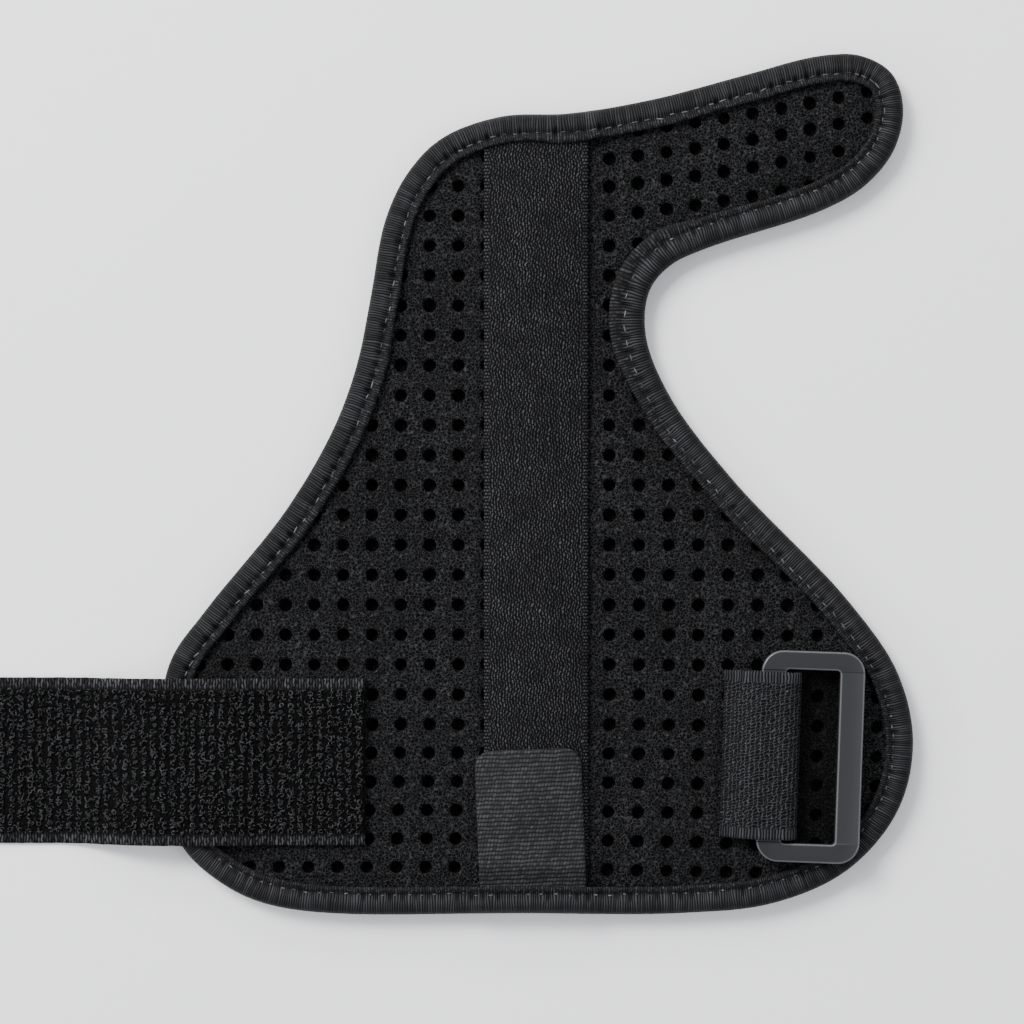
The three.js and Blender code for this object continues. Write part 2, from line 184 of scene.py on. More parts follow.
def depth_inside(points):
    """Distance of each point from the outer edge, positive inside."""
    found = np.empty(len(points))
    for start in range(0, len(points), 2000):
        block = points[start:start + 2000]
        gaps = block[:, None, :] - EDGE[None, ::2, :]
        squared = (gaps**2).sum(axis=2)
        nearest = squared.argmin(axis=1)
        rows = np.arange(len(block))
        side = (gaps[rows, nearest] * EDGE_INWARD[::2][nearest]).sum(axis=1)
        found[start:start + 2000] = np.sqrt(squared[rows, nearest]) * np.sign(side)
    return found


# The binding's section, from the underside's inner end round the fold to the upper inner end and back:
# inset from the outer edge and height in millimetres, share of a tucked end's lift, share of the gathers
BINDING_SECTION = [
    (6.75, 0.25, 0, 0), (6.6, 0.03, 0, 0), (5.5, 0.0, 0, 0.2), (4.95, 0.12, 0, 0.4), (4.4, 0.0, 0, 0.4),
    (3.0, 0.0, 0, 0.3), (1.9, 0.1, 0, 0.3), (1.1, 0.42, 0, 0.4), (0.5, 1.0, 0, 0.4), (0.12, 1.9, 0, 0.4),
    (0.0, 3.0, 0, 0.4), (0.08, 4.2, 0.2, 0.5), (0.34, 5.2, 0.45, 0.6), (0.85, 5.95, 0.7, 0.8),
    (1.6, 6.36, 0.9, 0.9), (2.45, 6.5, 1, 1), (3.3, 6.5, 1, 1), (4.05, 6.32, 1, 1), (4.6, 5.85, 1, 1),
    (4.95, 5.58, 1, 0.8), (5.3, 5.78, 1, 1), (5.85, 6.12, 1, 0.9), (6.35, 6.18, 1, 0.8),
    (6.72, 6.0, 1, 0.7), (6.85, 5.7, 1, 0.4), (6.7, 5.4, 1, 0), (6.0, 5.3, 1, 0), (4.0, 5.3, 1, 0),
    (1.6, 5.2, 0.8, 0), (1.15, 4.4, 0.3, 0), (1.1, 2.2, 0, 0), (1.6, 1.05, 0, 0), (5.8, 1.0, 0, 0),
    (6.7, 0.85, 0, 0),
]

# How far round the section each corner lies, for the material, and which corners it names
SECTION_STEPS = [math.dist(a[:2], b[:2]) for a, b in zip(BINDING_SECTION, BINDING_SECTION[1:])]
SECTION_GIRTH = np.concatenate([[0], np.cumsum(SECTION_STEPS)]) * MM
FOLD_CORNER, TOP_CORNER, SEAM_CORNER = 10, 16, 19
SEAM_INSET = BINDING_SECTION[SEAM_CORNER][0]
NEEDLE_INSET = 4.85
UPPER_SIDE = 3  # corners higher than this lie on the upper side


# Mesh helpers

def mesh_of(bm, name):
    """Turns a finished bmesh into a mesh."""
    mesh = bpy.data.meshes.new(name)
    bm.to_mesh(mesh)
    bm.free()
    return mesh


def linked(name, data):
    """A new object in the scene."""
    made = bpy.data.objects.new(name, data)
    bpy.context.scene.collection.objects.link(made)
    return made


def thicken(bm, height):
    """Raises a copy of a flat sheet by the height and joins both to a slab."""
    made = bmesh.ops.extrude_face_region(bm, geom=bm.faces[:])["geom"]
    lifted = [g for g in made if isinstance(g, bmesh.types.BMVert)]
    bmesh.ops.translate(bm, vec=(0, 0, height), verts=lifted)
    bmesh.ops.recalc_face_normals(bm, faces=bm.faces)


def finish_piece(bm, name, material, node=None):
    """Makes the object of a finished bmesh, rides it on the splint and hides the CAD part that it stands
    for.
    """
    mesh = mesh_of(bm, name)
    mesh.polygons.foreach_set("use_smooth", [True] * len(mesh.polygons))
    mesh.materials.append(material)
    piece = linked(name, mesh)
    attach(piece, "root")
    if node:
        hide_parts(node)
    return piece


def sweep(corner_count, stations, closed, place, mark=None):
    """A band or tape round a closed section.

    place(i, j) gives the point of corner j at station i, and how far along and across the cloth it lies.
    mark(i, j) gives a number from 0 to 1 for the material's "mark" attribute.
    """
    bm = bmesh.new()
    last = stations if closed else stations - 1
    uv = bm.loops.layers.uv.new("UVMap")
    marks = bm.verts.layers.float.new("mark") if mark else None
    bmesh.ops.create_grid(bm, x_segments=last, y_segments=corner_count, size=0.5)
    bm.verts.ensure_lookup_table()
    borders = []
    flat = {}
    for vert in bm.verts:
        j, i = divmod(vert.index, last + 1)
        vert.co, along, across = place(i, j % corner_count)
        flat[vert] = (along, across)
        if mark:
            vert[marks] = mark(i, j % corner_count)
        if i in (0, last) or j in (0, corner_count):
            borders.append(vert)
    for face in bm.faces:
        for loop in face.loops:
            loop[uv].uv = flat[loop.vert]
    bmesh.ops.remove_doubles(bm, verts=borders, dist=1e-7)
    open_ends = [e for e in bm.edges if e.is_boundary]
    if open_ends:
        bmesh.ops.holes_fill(bm, edges=open_ends, sides=0)
    bmesh.ops.recalc_face_normals(bm, faces=bm.faces)
    return bm


def shape_of(bm, name):
    """A small closed shape, to be copied."""
    bmesh.ops.recalc_face_normals(bm, faces=bm.faces)
    return mesh_of(bm, name)


def copies(placed):
    """One bmesh of many small shapes: placed holds each copy's mesh and matrix."""
    bm = bmesh.new()
    for shape, matrix in placed:
        copy = shape.copy()
        copy.transform(matrix)
        bm.from_mesh(copy)
        bpy.data.meshes.remove(copy)
    return bm


# Materials

def node(tree, kind, inputs=(), **settings):
    """Adds a node with its settings; inputs maps a socket to a value or to another node's output."""
    made = tree.nodes.new(kind)
    for key, value in settings.items():
        setattr(made, key, value)
    for key, value in dict(inputs).items():
        if isinstance(value, bpy.types.NodeSocket):
            tree.links.new(value, made.inputs[key])
        else:
            made.inputs[key].default_value = value
    return made


def shader(name, roughness, specular, sheen=0.0):
    """A new material with its Principled shader, whose uniform values are set on its own sockets."""
    material = bpy.data.materials.new(name)
    material.use_nodes = True
    surface = material.node_tree.nodes["Principled BSDF"]
    surface.inputs["Roughness"].default_value = roughness
    surface.inputs["Specular IOR Level"].default_value = specular
    surface.inputs["Sheen Weight"].default_value = sheen
    surface.inputs["Sheen Roughness"].default_value = 0.4
    return material, material.node_tree, surface


def ramp(tree, factor, stops):
    """A colour ramp over the factor; stops are (position, colour)."""
    made = node(tree, "ShaderNodeValToRGB", {"Fac": factor})
    elements = made.color_ramp.elements
    while len(elements) < len(stops):
        elements.new(0.5)
    for element, (position, tint) in zip(elements, stops):
        element.position = position
        element.color = tint
    return made.outputs["Color"]


def maths(tree, operation, a, b=0.0, c=0.0):
    """One step of arithmetic on numbers or sockets."""
    return node(tree, "ShaderNodeMath", {0: a, 1: b, 2: c}, operation=operation).outputs[0]


def product(tree, first, *others):
    """All the numbers multiplied, from the left."""
    for other in others:
        first = maths(tree, "MULTIPLY", first, other)
    return first


def scaled(tree, value, factor, start):
    """The value times the factor, from a start that is added."""
    return maths(tree, "MULTIPLY_ADD", value, factor, start)


def bump(tree, surface, height, depth, under=None):
    """Bumps the surface by a height from 0 to 1, depth metres deep."""
    inputs = {"Height": height, "Distance": depth, "Strength": 1.0}
    if under is not None:
        inputs["Normal"] = under
    made = node(tree, "ShaderNodeBump", inputs)
    tree.links.new(made.outputs["Normal"], surface.inputs["Normal"])
    return made.outputs["Normal"]


def object_place(tree):
    """Object coordinates, in metres."""
    return node(tree, "ShaderNodeTexCoord").outputs["Object"]


def uv_place(tree):
    """The piece's own UV map split into along and across, in metres."""
    uv = node(tree, "ShaderNodeUVMap", uv_map="UVMap").outputs["UV"]
    parts = node(tree, "ShaderNodeSeparateXYZ", {0: uv})
    return uv, parts.outputs["X"], parts.outputs["Y"]


def noise_of(tree, vector, size, detail=2.0):
    """Noise whose features are about size metres across."""
    inputs = {"Vector": vector, "Scale": 1 / size, "Detail": detail, "Roughness": 0.5}
    return node(tree, "ShaderNodeTexNoise", inputs).outputs["Fac"]


def wobbled(tree, vector, size, amount):
    """The coordinate pushed about by noise: amount metres, over features of the given size."""
    push = node(tree, "ShaderNodeTexNoise", {"Vector": vector, "Scale": 1 / size, "Detail": 1.0})
    centred = node(tree, "ShaderNodeVectorMath", {0: push.outputs["Color"], 1: (0.5, 0.5, 0.5)},
                   operation="SUBTRACT")
    pushed = node(tree, "ShaderNodeVectorMath", {0: centred.outputs[0], "Scale": amount}, operation="SCALE")
    return node(tree, "ShaderNodeVectorMath", {0: vector, 1: pushed.outputs[0]}, operation="ADD").outputs[0]


def mixed(tree, factor, a, b):
    """The colour a where the factor is 0, and b where it is 1."""
    made = node(tree, "ShaderNodeMix", data_type="RGBA")
    for socket, value in ((made.inputs[0], factor), (made.inputs[6], a), (made.inputs[7], b)):
        if isinstance(value, bpy.types.NodeSocket):
            tree.links.new(value, socket)
        else:
            socket.default_value = value
    return made.outputs[2]


UNBROKEN = 0.4  # a stroke longer than any piece


def strokes(tree, x, y, width, height, stagger, broad=0.95, long=0.95):
    """Short rounded strokes in staggered columns, from 0 to 1, and a random value for each stroke."""
    across = maths(tree, "DIVIDE", x, width)
    column = maths(tree, "ROUND", across)
    beside = maths(tree, "SUBTRACT", across, column)
    along = scaled(tree, column, stagger, maths(tree, "DIVIDE", y, height))
    row = maths(tree, "ROUND", along)
    ahead = maths(tree, "SUBTRACT", along, row)
    side = maths(tree, "POWER", product(tree, beside, 2 / broad), 2.0)
    tip = maths(tree, "POWER", product(tree, ahead, 2 / long), 4.0)
    body = product(tree, clamped(tree, maths(tree, "SUBTRACT", 1.0, side)),
                   clamped(tree, maths(tree, "SUBTRACT", 1.0, tip)))
    cell = node(tree, "ShaderNodeCombineXYZ", {0: column, 1: row}).outputs[0]
    chance = node(tree, "ShaderNodeTexWhiteNoise", {"Vector": cell}, noise_dimensions="2D").outputs["Value"]
    return body, chance


def clamped(tree, value):
    """The value kept between 0 and 1."""
    return node(tree, "ShaderNodeClamp", {"Value": value}).outputs[0]


def past(tree, value, low, high):
    """0 below low, 1 above high, and even between them."""
    return node(tree, "ShaderNodeMapRange", {"Value": value, "From Min": low, "From Max": high}).outputs[0]


def beyond(tree, coordinate, low, high):
    """0 where the coordinate is nearer its middle than low, and 1 where it is further out than high."""
    return past(tree, maths(tree, "ABSOLUTE", coordinate), low, high)


def patches_of(tree, vector, size, detail=3.0):
    """Soft patches from 0 to 1, about size metres across."""
    return past(tree, noise_of(tree, vector, size, detail), 0.25, 0.75)


def push_of(tree, vector, size, detail):
    """Noise about zero, to push a pattern to and fro."""
    return maths(tree, "SUBTRACT", noise_of(tree, vector, size, detail), 0.5)


def blend(tree, factor, a, b):
    """The number a where the factor is 0, and b where it is 1."""
    return scaled(tree, factor, maths(tree, "SUBTRACT", b, a), a)


def coloured(tree, surface, lit, stops, height, depth):
    """Colours cloth by how much light each yarn gets, from black gaps to bright tops, and bumps it."""
    tint = ramp(tree, lit, [(at, linear(tint) if isinstance(tint, str) else tint) for at, tint in stops])
    tree.links.new(tint, surface.inputs["Base Color"])
    bump(tree, surface, height, depth)


def ring_place(tree):
    """Object coordinates seen from the ring's centre: across its slot and along it."""
    centred = node(tree, "ShaderNodeVectorMath", {0: object_place(tree), 1: RING_CENTRE},
                   operation="SUBTRACT")
    turned = node(tree, "ShaderNodeVectorRotate", {"Vector": centred.outputs[0], "Angle": -RING_TURN},
                  rotation_type="Z_AXIS")
    parts = node(tree, "ShaderNodeSeparateXYZ", {0: turned.outputs[0]})
    return parts.outputs["X"], parts.outputs["Y"]


def foam_material(settings):
    """Knit-faced foam: a fine raised net of yarn over black pits, which gives a matt pebbled face.

    In the ring's slot the foam is painted darker, nearly black: painted shade under the ring and its loop.
    """
    material, tree, surface = shader("knit faced foam", 0.9, 0.06)
    place = wobbled(tree, object_place(tree), 1.2 * MM, 0.9 * MM)
    cell_size = 0.74 * MM
    cells = node(tree, "ShaderNodeTexVoronoi", {"Vector": place, "Scale": 1 / cell_size, "Randomness": 1.0},
                 feature="DISTANCE_TO_EDGE").outputs["Distance"]
    net = clamped(tree, scaled(tree, cells, -4.6, 1.0))
    broken = past(tree, noise_of(tree, place, 0.7 * MM, 2.0), 0.28, 0.6)
    height = product(tree, net, broken)
    patches = patches_of(tree, object_place(tree), 13 * MM)
    # Painted shade: the foam in the ring's slot is darkened to 0.4 of its tone, fading out over 2 mm past
    # the slot's edges
    across, lengthwise = ring_place(tree)
    aside = beyond(tree, across, 6.0 * MM, 8.0 * MM)
    ahead = beyond(tree, lengthwise, 20.0 * MM, 22.0 * MM)
    slot_painted_shade = blend(tree, maths(tree, "MAXIMUM", aside, ahead), 0.4, 1.0)
    lit = product(tree, height, scaled(tree, patches, 0.35, 0.7), slot_painted_shade)
    stops = [(0.0, "#040404"), (0.3, settings.foam), (0.85, "#363638")]
    coloured(tree, surface, lit, stops, height, 0.3 * MM)
    return material


def lining_material(settings):
    """Plain warp knit: fine upright wales, soft and dull."""
    material, tree, surface = shader("lining knit", 0.9, 0.08, sheen=0.02)
    parts = node(tree, "ShaderNodeSeparateXYZ", {0: wobbled(tree, object_place(tree), 3 * MM, 0.25 * MM)})
    loops, chance = strokes(tree, parts.outputs["X"], parts.outputs["Y"], 0.8 * MM, 1.1 * MM, 0.5)
    lit = product(tree, loops, scaled(tree, chance, 0.3, 0.7))
    coloured(tree, surface, lit, [(0.0, "#050505"), (1.0, settings.lining)], loops, 0.18 * MM)
    return material


def binding_material(settings):
    """Ribbed braid tape: fine cords across it and crumpled on the flange, with painted shade in the pinches
    at the needle holes and where the tape turns down over its outer edge.
    """
    material, tree, surface = shader("ribbed binding tape", 0.65, 0.14, sheen=0.015)
    uv, along, across = uv_place(tree)
    bent = scaled(tree, push_of(tree, uv, 6 * MM, 1.0), 0.7 * MM, along)
    cords, chance = strokes(tree, bent, across, 0.6 * MM, UNBROKEN, 0.0, broad=1.0)
    # Painted shade: the ribs darken to 0.42 of their tone where the tape turns down over its outer edge;
    # each rib's own tone also differs at random
    outward = past(tree, across, SECTION_GIRTH[FOLD_CORNER], SECTION_GIRTH[TOP_CORNER])
    seam = float(SECTION_GIRTH[SEAM_CORNER])
    flange = past(tree, across, seam - 0.4 * MM, seam + 0.3 * MM)
    crumple = past(tree, noise_of(tree, uv, 0.85 * MM, 3.0), 0.4, 0.62)
    rib_tone_and_fold_shade = product(tree, scaled(tree, chance, 0.42, 0.68), blend(tree, outward, 0.42, 1.0))
    height = blend(tree, flange, cords, product(tree, cords, scaled(tree, crumple, 0.85, 0.35)))
    patches = patches_of(tree, uv, 5 * MM)
    # Painted shade in the pinched creases beside each needle hole, read from the tape's "mark" attribute
    pulled = node(tree, "ShaderNodeAttribute", attribute_name="mark").outputs["Fac"]
    pinch_shade = scaled(tree, past(tree, pulled, 0.04, 0.42), -0.85, 1.0)
    lit = product(tree, height, rib_tone_and_fold_shade, scaled(tree, patches, 0.45, 0.72), pinch_shade)
    stops = [(0.0, "#020202"), (0.5, settings.tape), (1.0, "#343437")]
    coloured(tree, surface, lit, stops, height, 0.22 * MM)
    return material


def thread_material(settings):
    """Polyester sewing thread: two plies twisted, with a slight shine."""
    material, tree, surface = shader("sewing thread", 0.45, 0.3)
    patches = noise_of(tree, object_place(tree), 5 * MM, 2.0)
    tint = ramp(tree, patches, [(0.35, linear("#1e1e20")), (0.65, settings.thread)])
    tree.links.new(tint, surface.inputs["Base Color"])
    return material


def webbing_material(settings):
    """Twill webbing: short upright floats that lean one way and then the other, between firm edges."""
    material, tree, surface = shader("twill webbing", 0.75, 0.08, sheen=0.01)
    uv, along, across = uv_place(tree)
    push = push_of(tree, uv, 1.6 * MM, 2.0)
    zigzag = maths(tree, "PINGPONG", along, 2.6 * MM)
    column = scaled(tree, push, 1.3 * MM, scaled(tree, zigzag, 0.2, across))
    row = scaled(tree, push, 1.1 * MM, along)
    floats, chance = strokes(tree, column, row, 0.68 * MM, 1.15 * MM, 0.41, broad=0.66, long=1.0)
    half = STRIP_WIDTH / 2
    edge = beyond(tree, across, half - 1.5 * MM, half - 1.1 * MM)
    cords, knots = strokes(tree, along, across, 0.8 * MM, 0.75 * MM, 0.5)
    height = blend(tree, edge, floats, cords)
    own = blend(tree, edge, scaled(tree, chance, 0.28, 0.72), scaled(tree, knots, 0.35, 0.6))
    patches = patches_of(tree, uv, 7 * MM)
    lit = product(tree, height, own, scaled(tree, patches, 0.35, 0.8))
    stops = [(0.08, "#020202"), (0.5, settings.webbing), (1.0, "#434345")]
    coloured(tree, surface, lit, stops, height, 0.22 * MM)
    return material


def grosgrain_material(settings):
    """Grosgrain: heavy cross ribs of grey yarn, each twisted into short leaning floats."""
    material, tree, surface = shader("grosgrain", 0.65, 0.12, sheen=0.02)
    uv, along, across = uv_place(tree)
    bent = scaled(tree, push_of(tree, uv, 4 * MM, 2.0), 0.8 * MM, along)
    leaning = scaled(tree, bent, -0.45, across)
    floats, chance = strokes(tree, bent, leaning, 1.0 * MM, 0.8 * MM, 0.28, broad=1.1, long=1.0)
    ribs, _ = strokes(tree, bent, across, 1.0 * MM, UNBROKEN, 0.0, broad=1.02)
    height = scaled(tree, floats, 0.6, product(tree, ribs, 0.4))
    grain = past(tree, noise_of(tree, uv, 0.4 * MM, 3.0), 0.3, 0.7)
    own = product(tree, scaled(tree, chance, 0.45, 0.6), scaled(tree, grain, 0.5, 0.6))
    patches = patches_of(tree, uv, 9 * MM, 2.0)
    lit = product(tree, height, own, scaled(tree, patches, 0.3, 0.85))
    stops = [(0.0, "#070707"), (0.45, settings.grosgrain), (1.0, "#404042")]
    coloured(tree, surface, lit, stops, height, 0.15 * MM)
    return material


def strap_material(settings):
    """The strap's woven ground: dark and close in the pile field, ribbed along both bare selvedges."""
    material, tree, surface = shader("strap ground weave", 0.9, 0.03)
    uv, along, across = uv_place(tree)
    edge = beyond(tree, across, STRAP_HALF - 3.1 * MM, STRAP_HALF - 1.9 * MM)
    bent = scaled(tree, push_of(tree, uv, 1.1 * MM, 3.0), 1.0 * MM, along)
    ribs, chance = strokes(tree, bent, across, 0.68 * MM, 3.4 * MM, 0.37, broad=1.0, long=1.1)
    ground = past(tree, noise_of(tree, uv, 0.55 * MM, 2.0), 0.35, 0.8)
    ribs = product(tree, ribs, scaled(tree, chance, 0.5, 0.5))
    height = blend(tree, edge, product(tree, ground, 0.27), ribs)
    stops = [(0.0, "#010101"), (0.45, settings.strap), (1.0, "#48484b")]
    coloured(tree, surface, height, stops, height, 0.25 * MM)
    return material


def pile_material(settings):
    """Nylon monofilament loops: dull black yarn whose tops catch the light."""
    material, tree, surface = shader("nylon pile yarn", 0.45, 0.35)
    patches = noise_of(tree, object_place(tree), 2.0 * MM, 2.0)
    tint = ramp(tree, patches, [(0.35, linear("#0b0b0c")), (0.68, settings.pile)])
    tree.links.new(tint, surface.inputs["Base Color"])
    return material


def plastic_material(settings):
    """Moulded acetal: satin grey faces with a very fine grain; the end bars are painted darker as shade,
    and the rims are painted lighter as highlights and made smoother.
    """
    material, tree, surface = shader("moulded acetal", 0.36, 0.45)
    place = object_place(tree)
    grain = noise_of(tree, place, 0.18 * MM, 2.0)
    clouds = noise_of(tree, place, 9 * MM, 3.0)
    dark = [c * 0.8 for c in settings.plastic[:3]] + [1.0]
    lengthwise = ring_place(tree)[1]
    end_bar = beyond(tree, lengthwise, 20.4 * MM, 20.65 * MM)
    side_bar = mixed(tree, clouds, dark, list(settings.plastic))
    # Painted shade: the end bars are darker than the side bars, as if they faced away from the light
    end_bar_shade = [c * 0.64 for c in settings.plastic[:3]] + [1.0]
    # Painted highlight: the rounded rims are tinted lighter than the faces to stand in for glints; they are
    # also less rough
    rim = node(tree, "ShaderNodeAttribute", attribute_name="rim").outputs["Fac"]
    tint = mixed(tree, rim, mixed(tree, end_bar, side_bar, end_bar_shade), linear("#494a4d"))
    tree.links.new(tint, surface.inputs["Base Color"])
    tree.links.new(blend(tree, rim, blend(tree, grain, 0.3, 0.42), 0.27), surface.inputs["Roughness"])
    face = bump(tree, surface, grain, 0.012 * MM)
    bump(tree, surface, end_bar, 0.12 * MM, face)
    return material


def elastic_material(settings):
    """Knitted elastic: light yarn round rows of leaning dark gaps, with ribbed selvedges."""
    material, tree, surface = shader("knitted elastic", 0.75, 0.09, sheen=0.01)
    uv, along, across = uv_place(tree)
    bent = node(tree, "ShaderNodeSeparateXYZ", {0: wobbled(tree, uv, 1.3 * MM, 1.3 * MM)})
    leaning = scaled(tree, bent.outputs["X"], 0.55, bent.outputs["Y"])
    gaps, chance = strokes(tree, bent.outputs["X"], leaning, 1.1 * MM, 0.74 * MM, 0.62, long=0.85)
    grain = patches_of(tree, uv, 0.45 * MM)
    dark_gaps = product(tree, gaps, scaled(tree, chance, 0.8, 0.9))
    knit = clamped(tree, maths(tree, "SUBTRACT", scaled(tree, grain, 0.6, 0.55), dark_gaps))
    half = (LOOP_HIGH.y - LOOP_LOW.y) / 2
    edge = beyond(tree, across, half - 3.2 * MM, half - 2.7 * MM)
    wandering = scaled(tree, push_of(tree, uv, 2.5 * MM, 1.0), 0.6 * MM, along)
    ribs, own = strokes(tree, wandering, across, 0.72 * MM, UNBROKEN, 0.0)
    height = blend(tree, edge, knit, product(tree, ribs, scaled(tree, own, 0.4, 0.6)))
    stops = [(0.0, "#030303"), (0.45, settings.elastic), (1.0, "#3f3f42")]
    coloured(tree, surface, height, stops, height, 0.3 * MM)
    return material


def floor_material(settings):
    """Pale seamless paper: matt and almost even."""
    material, tree, surface = shader("pale paper", 0.9, 0.1)
    mottle = noise_of(tree, object_place(tree), 40 * MM)
    near = [c * 0.985 for c in settings.floor[:3]] + [1.0]
    tree.links.new(mixed(tree, mottle, near, list(settings.floor)), surface.inputs["Base Color"])
    return material


# Settings

class SplintSizes(bpy.types.PropertyGroup):
    hole: length("Perforation", 3.0, "Diameter of the round perforations")
    row_pitch: length("Row pitch", 7.19, "Distance between rows of perforations")
    left_pitch: length("Left column pitch", 6.92, "Distance between columns left of the stay strip")
    right_pitch: length("Right column pitch", 7.14, "Distance between columns right of the stay strip")
    left_first: length("First left column", 6.1, "From the strip to the first column on its left")
    right_first: length("First right column", 5.15, "From the strip to the first column on its right")
    first_row: length("First row", 31.9, "From the top of the panel to the first level row")
    stitch_inset: length("Seam inset", 4.95, "From the outer edge to the seam of the binding")
    thread: length("Thread", 0.42, "Thickness of the sewing thread")
    pile_column: length("Pile column", 2.35, "Distance between columns of pile loops")
    pile_row: length("Pile row", 1.5, "Distance between rows of pile loops")
    selvedge: length("Selvedge", 2.9, "Width of the strap's bare edges")


class SplintColours(bpy.types.PropertyGroup):
    foam: colour("Foam", "#1c1c1d", "Raised net of the foam's knit face")
    lining: colour("Lining", "#171718", "Inner lining")
    tape: colour("Binding", "#141415", "Ribs of the edge binding")
    thread: colour("Thread", "#565659", "Sewing thread")
    webbing: colour("Stay webbing", "#1c1c1e", "Floats of the twill webbing")
    grosgrain: colour("Grosgrain", "#1f1f20", "Ribs of the tab")
    strap: colour("Strap", "#1c1c1d", "Ground weave of the closure strap")
    pile: colour("Pile", "#2d2d2f", "Loops of the closure strap")
    plastic: colour("Ring", "#232426", "Moulded ring")
    elastic: colour("Elastic", "#171719", "Stitches of the elastic loop")
    floor: colour("Floor", "#fbfbfc", "Pale floor")


# The stage

VIEW_WIDTH = 245.8 * MM  # what the picture shows from side to side
VIEW_CENTRE = Vector((20.4 * MM, -6.7 * MM, 5 * MM))
LENS, SENSOR = 110.0, 36.0

# Each light's place, width, height and watts
LIGHTS = {
    "key": ((-0.75, 0.8, 1.1), 0.6, 0.6, 36.5),
    "fill": ((0.85, -0.25, 1.1), 0.9, 0.9, 5.2),
    "left strip": ((-0.95, 0.0, 0.5), 1.4, 0.25, 7.0),
    "top strip": ((0.0, 0.95, 0.5), 1.4, 0.25, 7.0),
}


class SPLINT_OT_stage(bpy.types.Operator):
    """Makes the camera, the pale floor and the soft light"""
    bl_idname = "splint.stage"
    bl_label = "Stage"

    def execute(self, context):
        camera_data = bpy.data.cameras.new("camera")
        camera_data.lens, camera_data.sensor_width = LENS, SENSOR
        camera_data.clip_start, camera_data.clip_end = 0.01, 20
        camera = linked("camera", camera_data)
        camera.location = VIEW_CENTRE + Vector((0, 0, VIEW_WIDTH * LENS / SENSOR))
        context.scene.camera = camera

        bm = bmesh.new()
        bmesh.ops.create_grid(bm, x_segments=2, y_segments=2, size=3.0)
        mesh = mesh_of(bm, "floor")
        mesh.materials.append(floor_material(context.scene.splint_colours))
        floor = linked("floor", mesh)

        for name, values in LIGHTS.items():
            self.light(name, *values)
        world = bpy.data.worlds.new("studio")
        world.use_nodes = True
        world.node_tree.nodes["Background"].inputs["Color"].default_value = (0.9, 0.93, 1.0, 1)
        world.node_tree.nodes["Background"].inputs["Strength"].default_value = 0.58
        context.scene.world = world
        return {"FINISHED"}

    def light(self, name, place, width, height, watts):
        """A flat light that faces the splint."""
        data = bpy.data.lights.new(name, "AREA")
        data.shape, data.energy = "RECTANGLE", watts
        data.size, data.size_y = width, height
        lamp = linked(name, data)
        lamp.location = place
        lamp.rotation_euler = (-Vector(place)).to_track_quat("-Z", "Y").to_euler()


# The panel

LATTICE_ROWS = range(-2, 28)
LATTICE_COLUMNS = 14
LAST_EVEN_ROW = 18  # below this one the rows close up towards the hem
WING_ROWS = 2  # this many rows from the first one, and all above, climb in the wing
WING_RADIUS = 600 * MM
WING_SLOPE, WING_SQUEEZE = 0.1, 0.965
STRAP_COVERS = 18 * MM  # to each side of the strap's middle
UNDER_TAPE = 0.7 * MM  # how far a hole's middle may lie under the tape's edge


def perforation_places(sizes):
    """Every round hole that the covered parts leave open, as a lattice on each side of the strip.

    The cloth gives a little: the rows close up towards the hem and in the wing, where they also climb.
    """
    found = []
    for side in (1, -1):
        on_right = side > 0
        first = sizes.right_first if on_right else sizes.left_first
        pitch = sizes.right_pitch if on_right else sizes.left_pitch
        for row in LATTICE_ROWS:
            near_hem = max(0, row - LAST_EVEN_ROW)
            in_wing = on_right and row < WING_ROWS
            fade = 0.5 if on_right and row == WING_ROWS else 1.0 if in_wing else 0.0
            for column in range(0 if on_right else -1, LATTICE_COLUMNS):
                out = column * pitch
                climb = fade * (WING_SLOPE * out + out**2 / (2 * WING_RADIUS))
                closing = (0.2 if on_right else 0.34) * MM * near_hem
                if on_right:
                    closing -= 0.18 * MM * max(0, 1 - row) ** 2 + 0.012 * MM * max(0, row - 12) * column
                spread = -0.1 * MM * near_hem if on_right else -0.17 * MM * near_hem * (1 + 0.15 * column)
                squeeze = WING_SQUEEZE if in_wing else 1.0
                x = STRIP_X + side * (STRIP_WIDTH / 2 + first + out * squeeze) + spread
                y = PANEL_HIGH.y - sizes.first_row - row * sizes.row_pitch + climb + closing
                found.append((x, y))
    places = np.array(found)
    depth = depth_inside(places)
    beside_strap = np.abs(places[:, 1] - STRAP_Y) < STRAP_COVERS
    on_strap = (places[:, 0] < STRAP_HIGH.x - 1 * MM) & beside_strap
    return places[(depth > TAPE_WIDTH - UNDER_TAPE) & ~on_strap]


# The flare of a hole: height over the foam's face in millimetres, and width as a share of the hole's
FLARE = [(-0.55, 1.0), (-0.28, 1.05), (-0.13, 1.13), (-0.04, 1.24), (0.3, 1.6)]


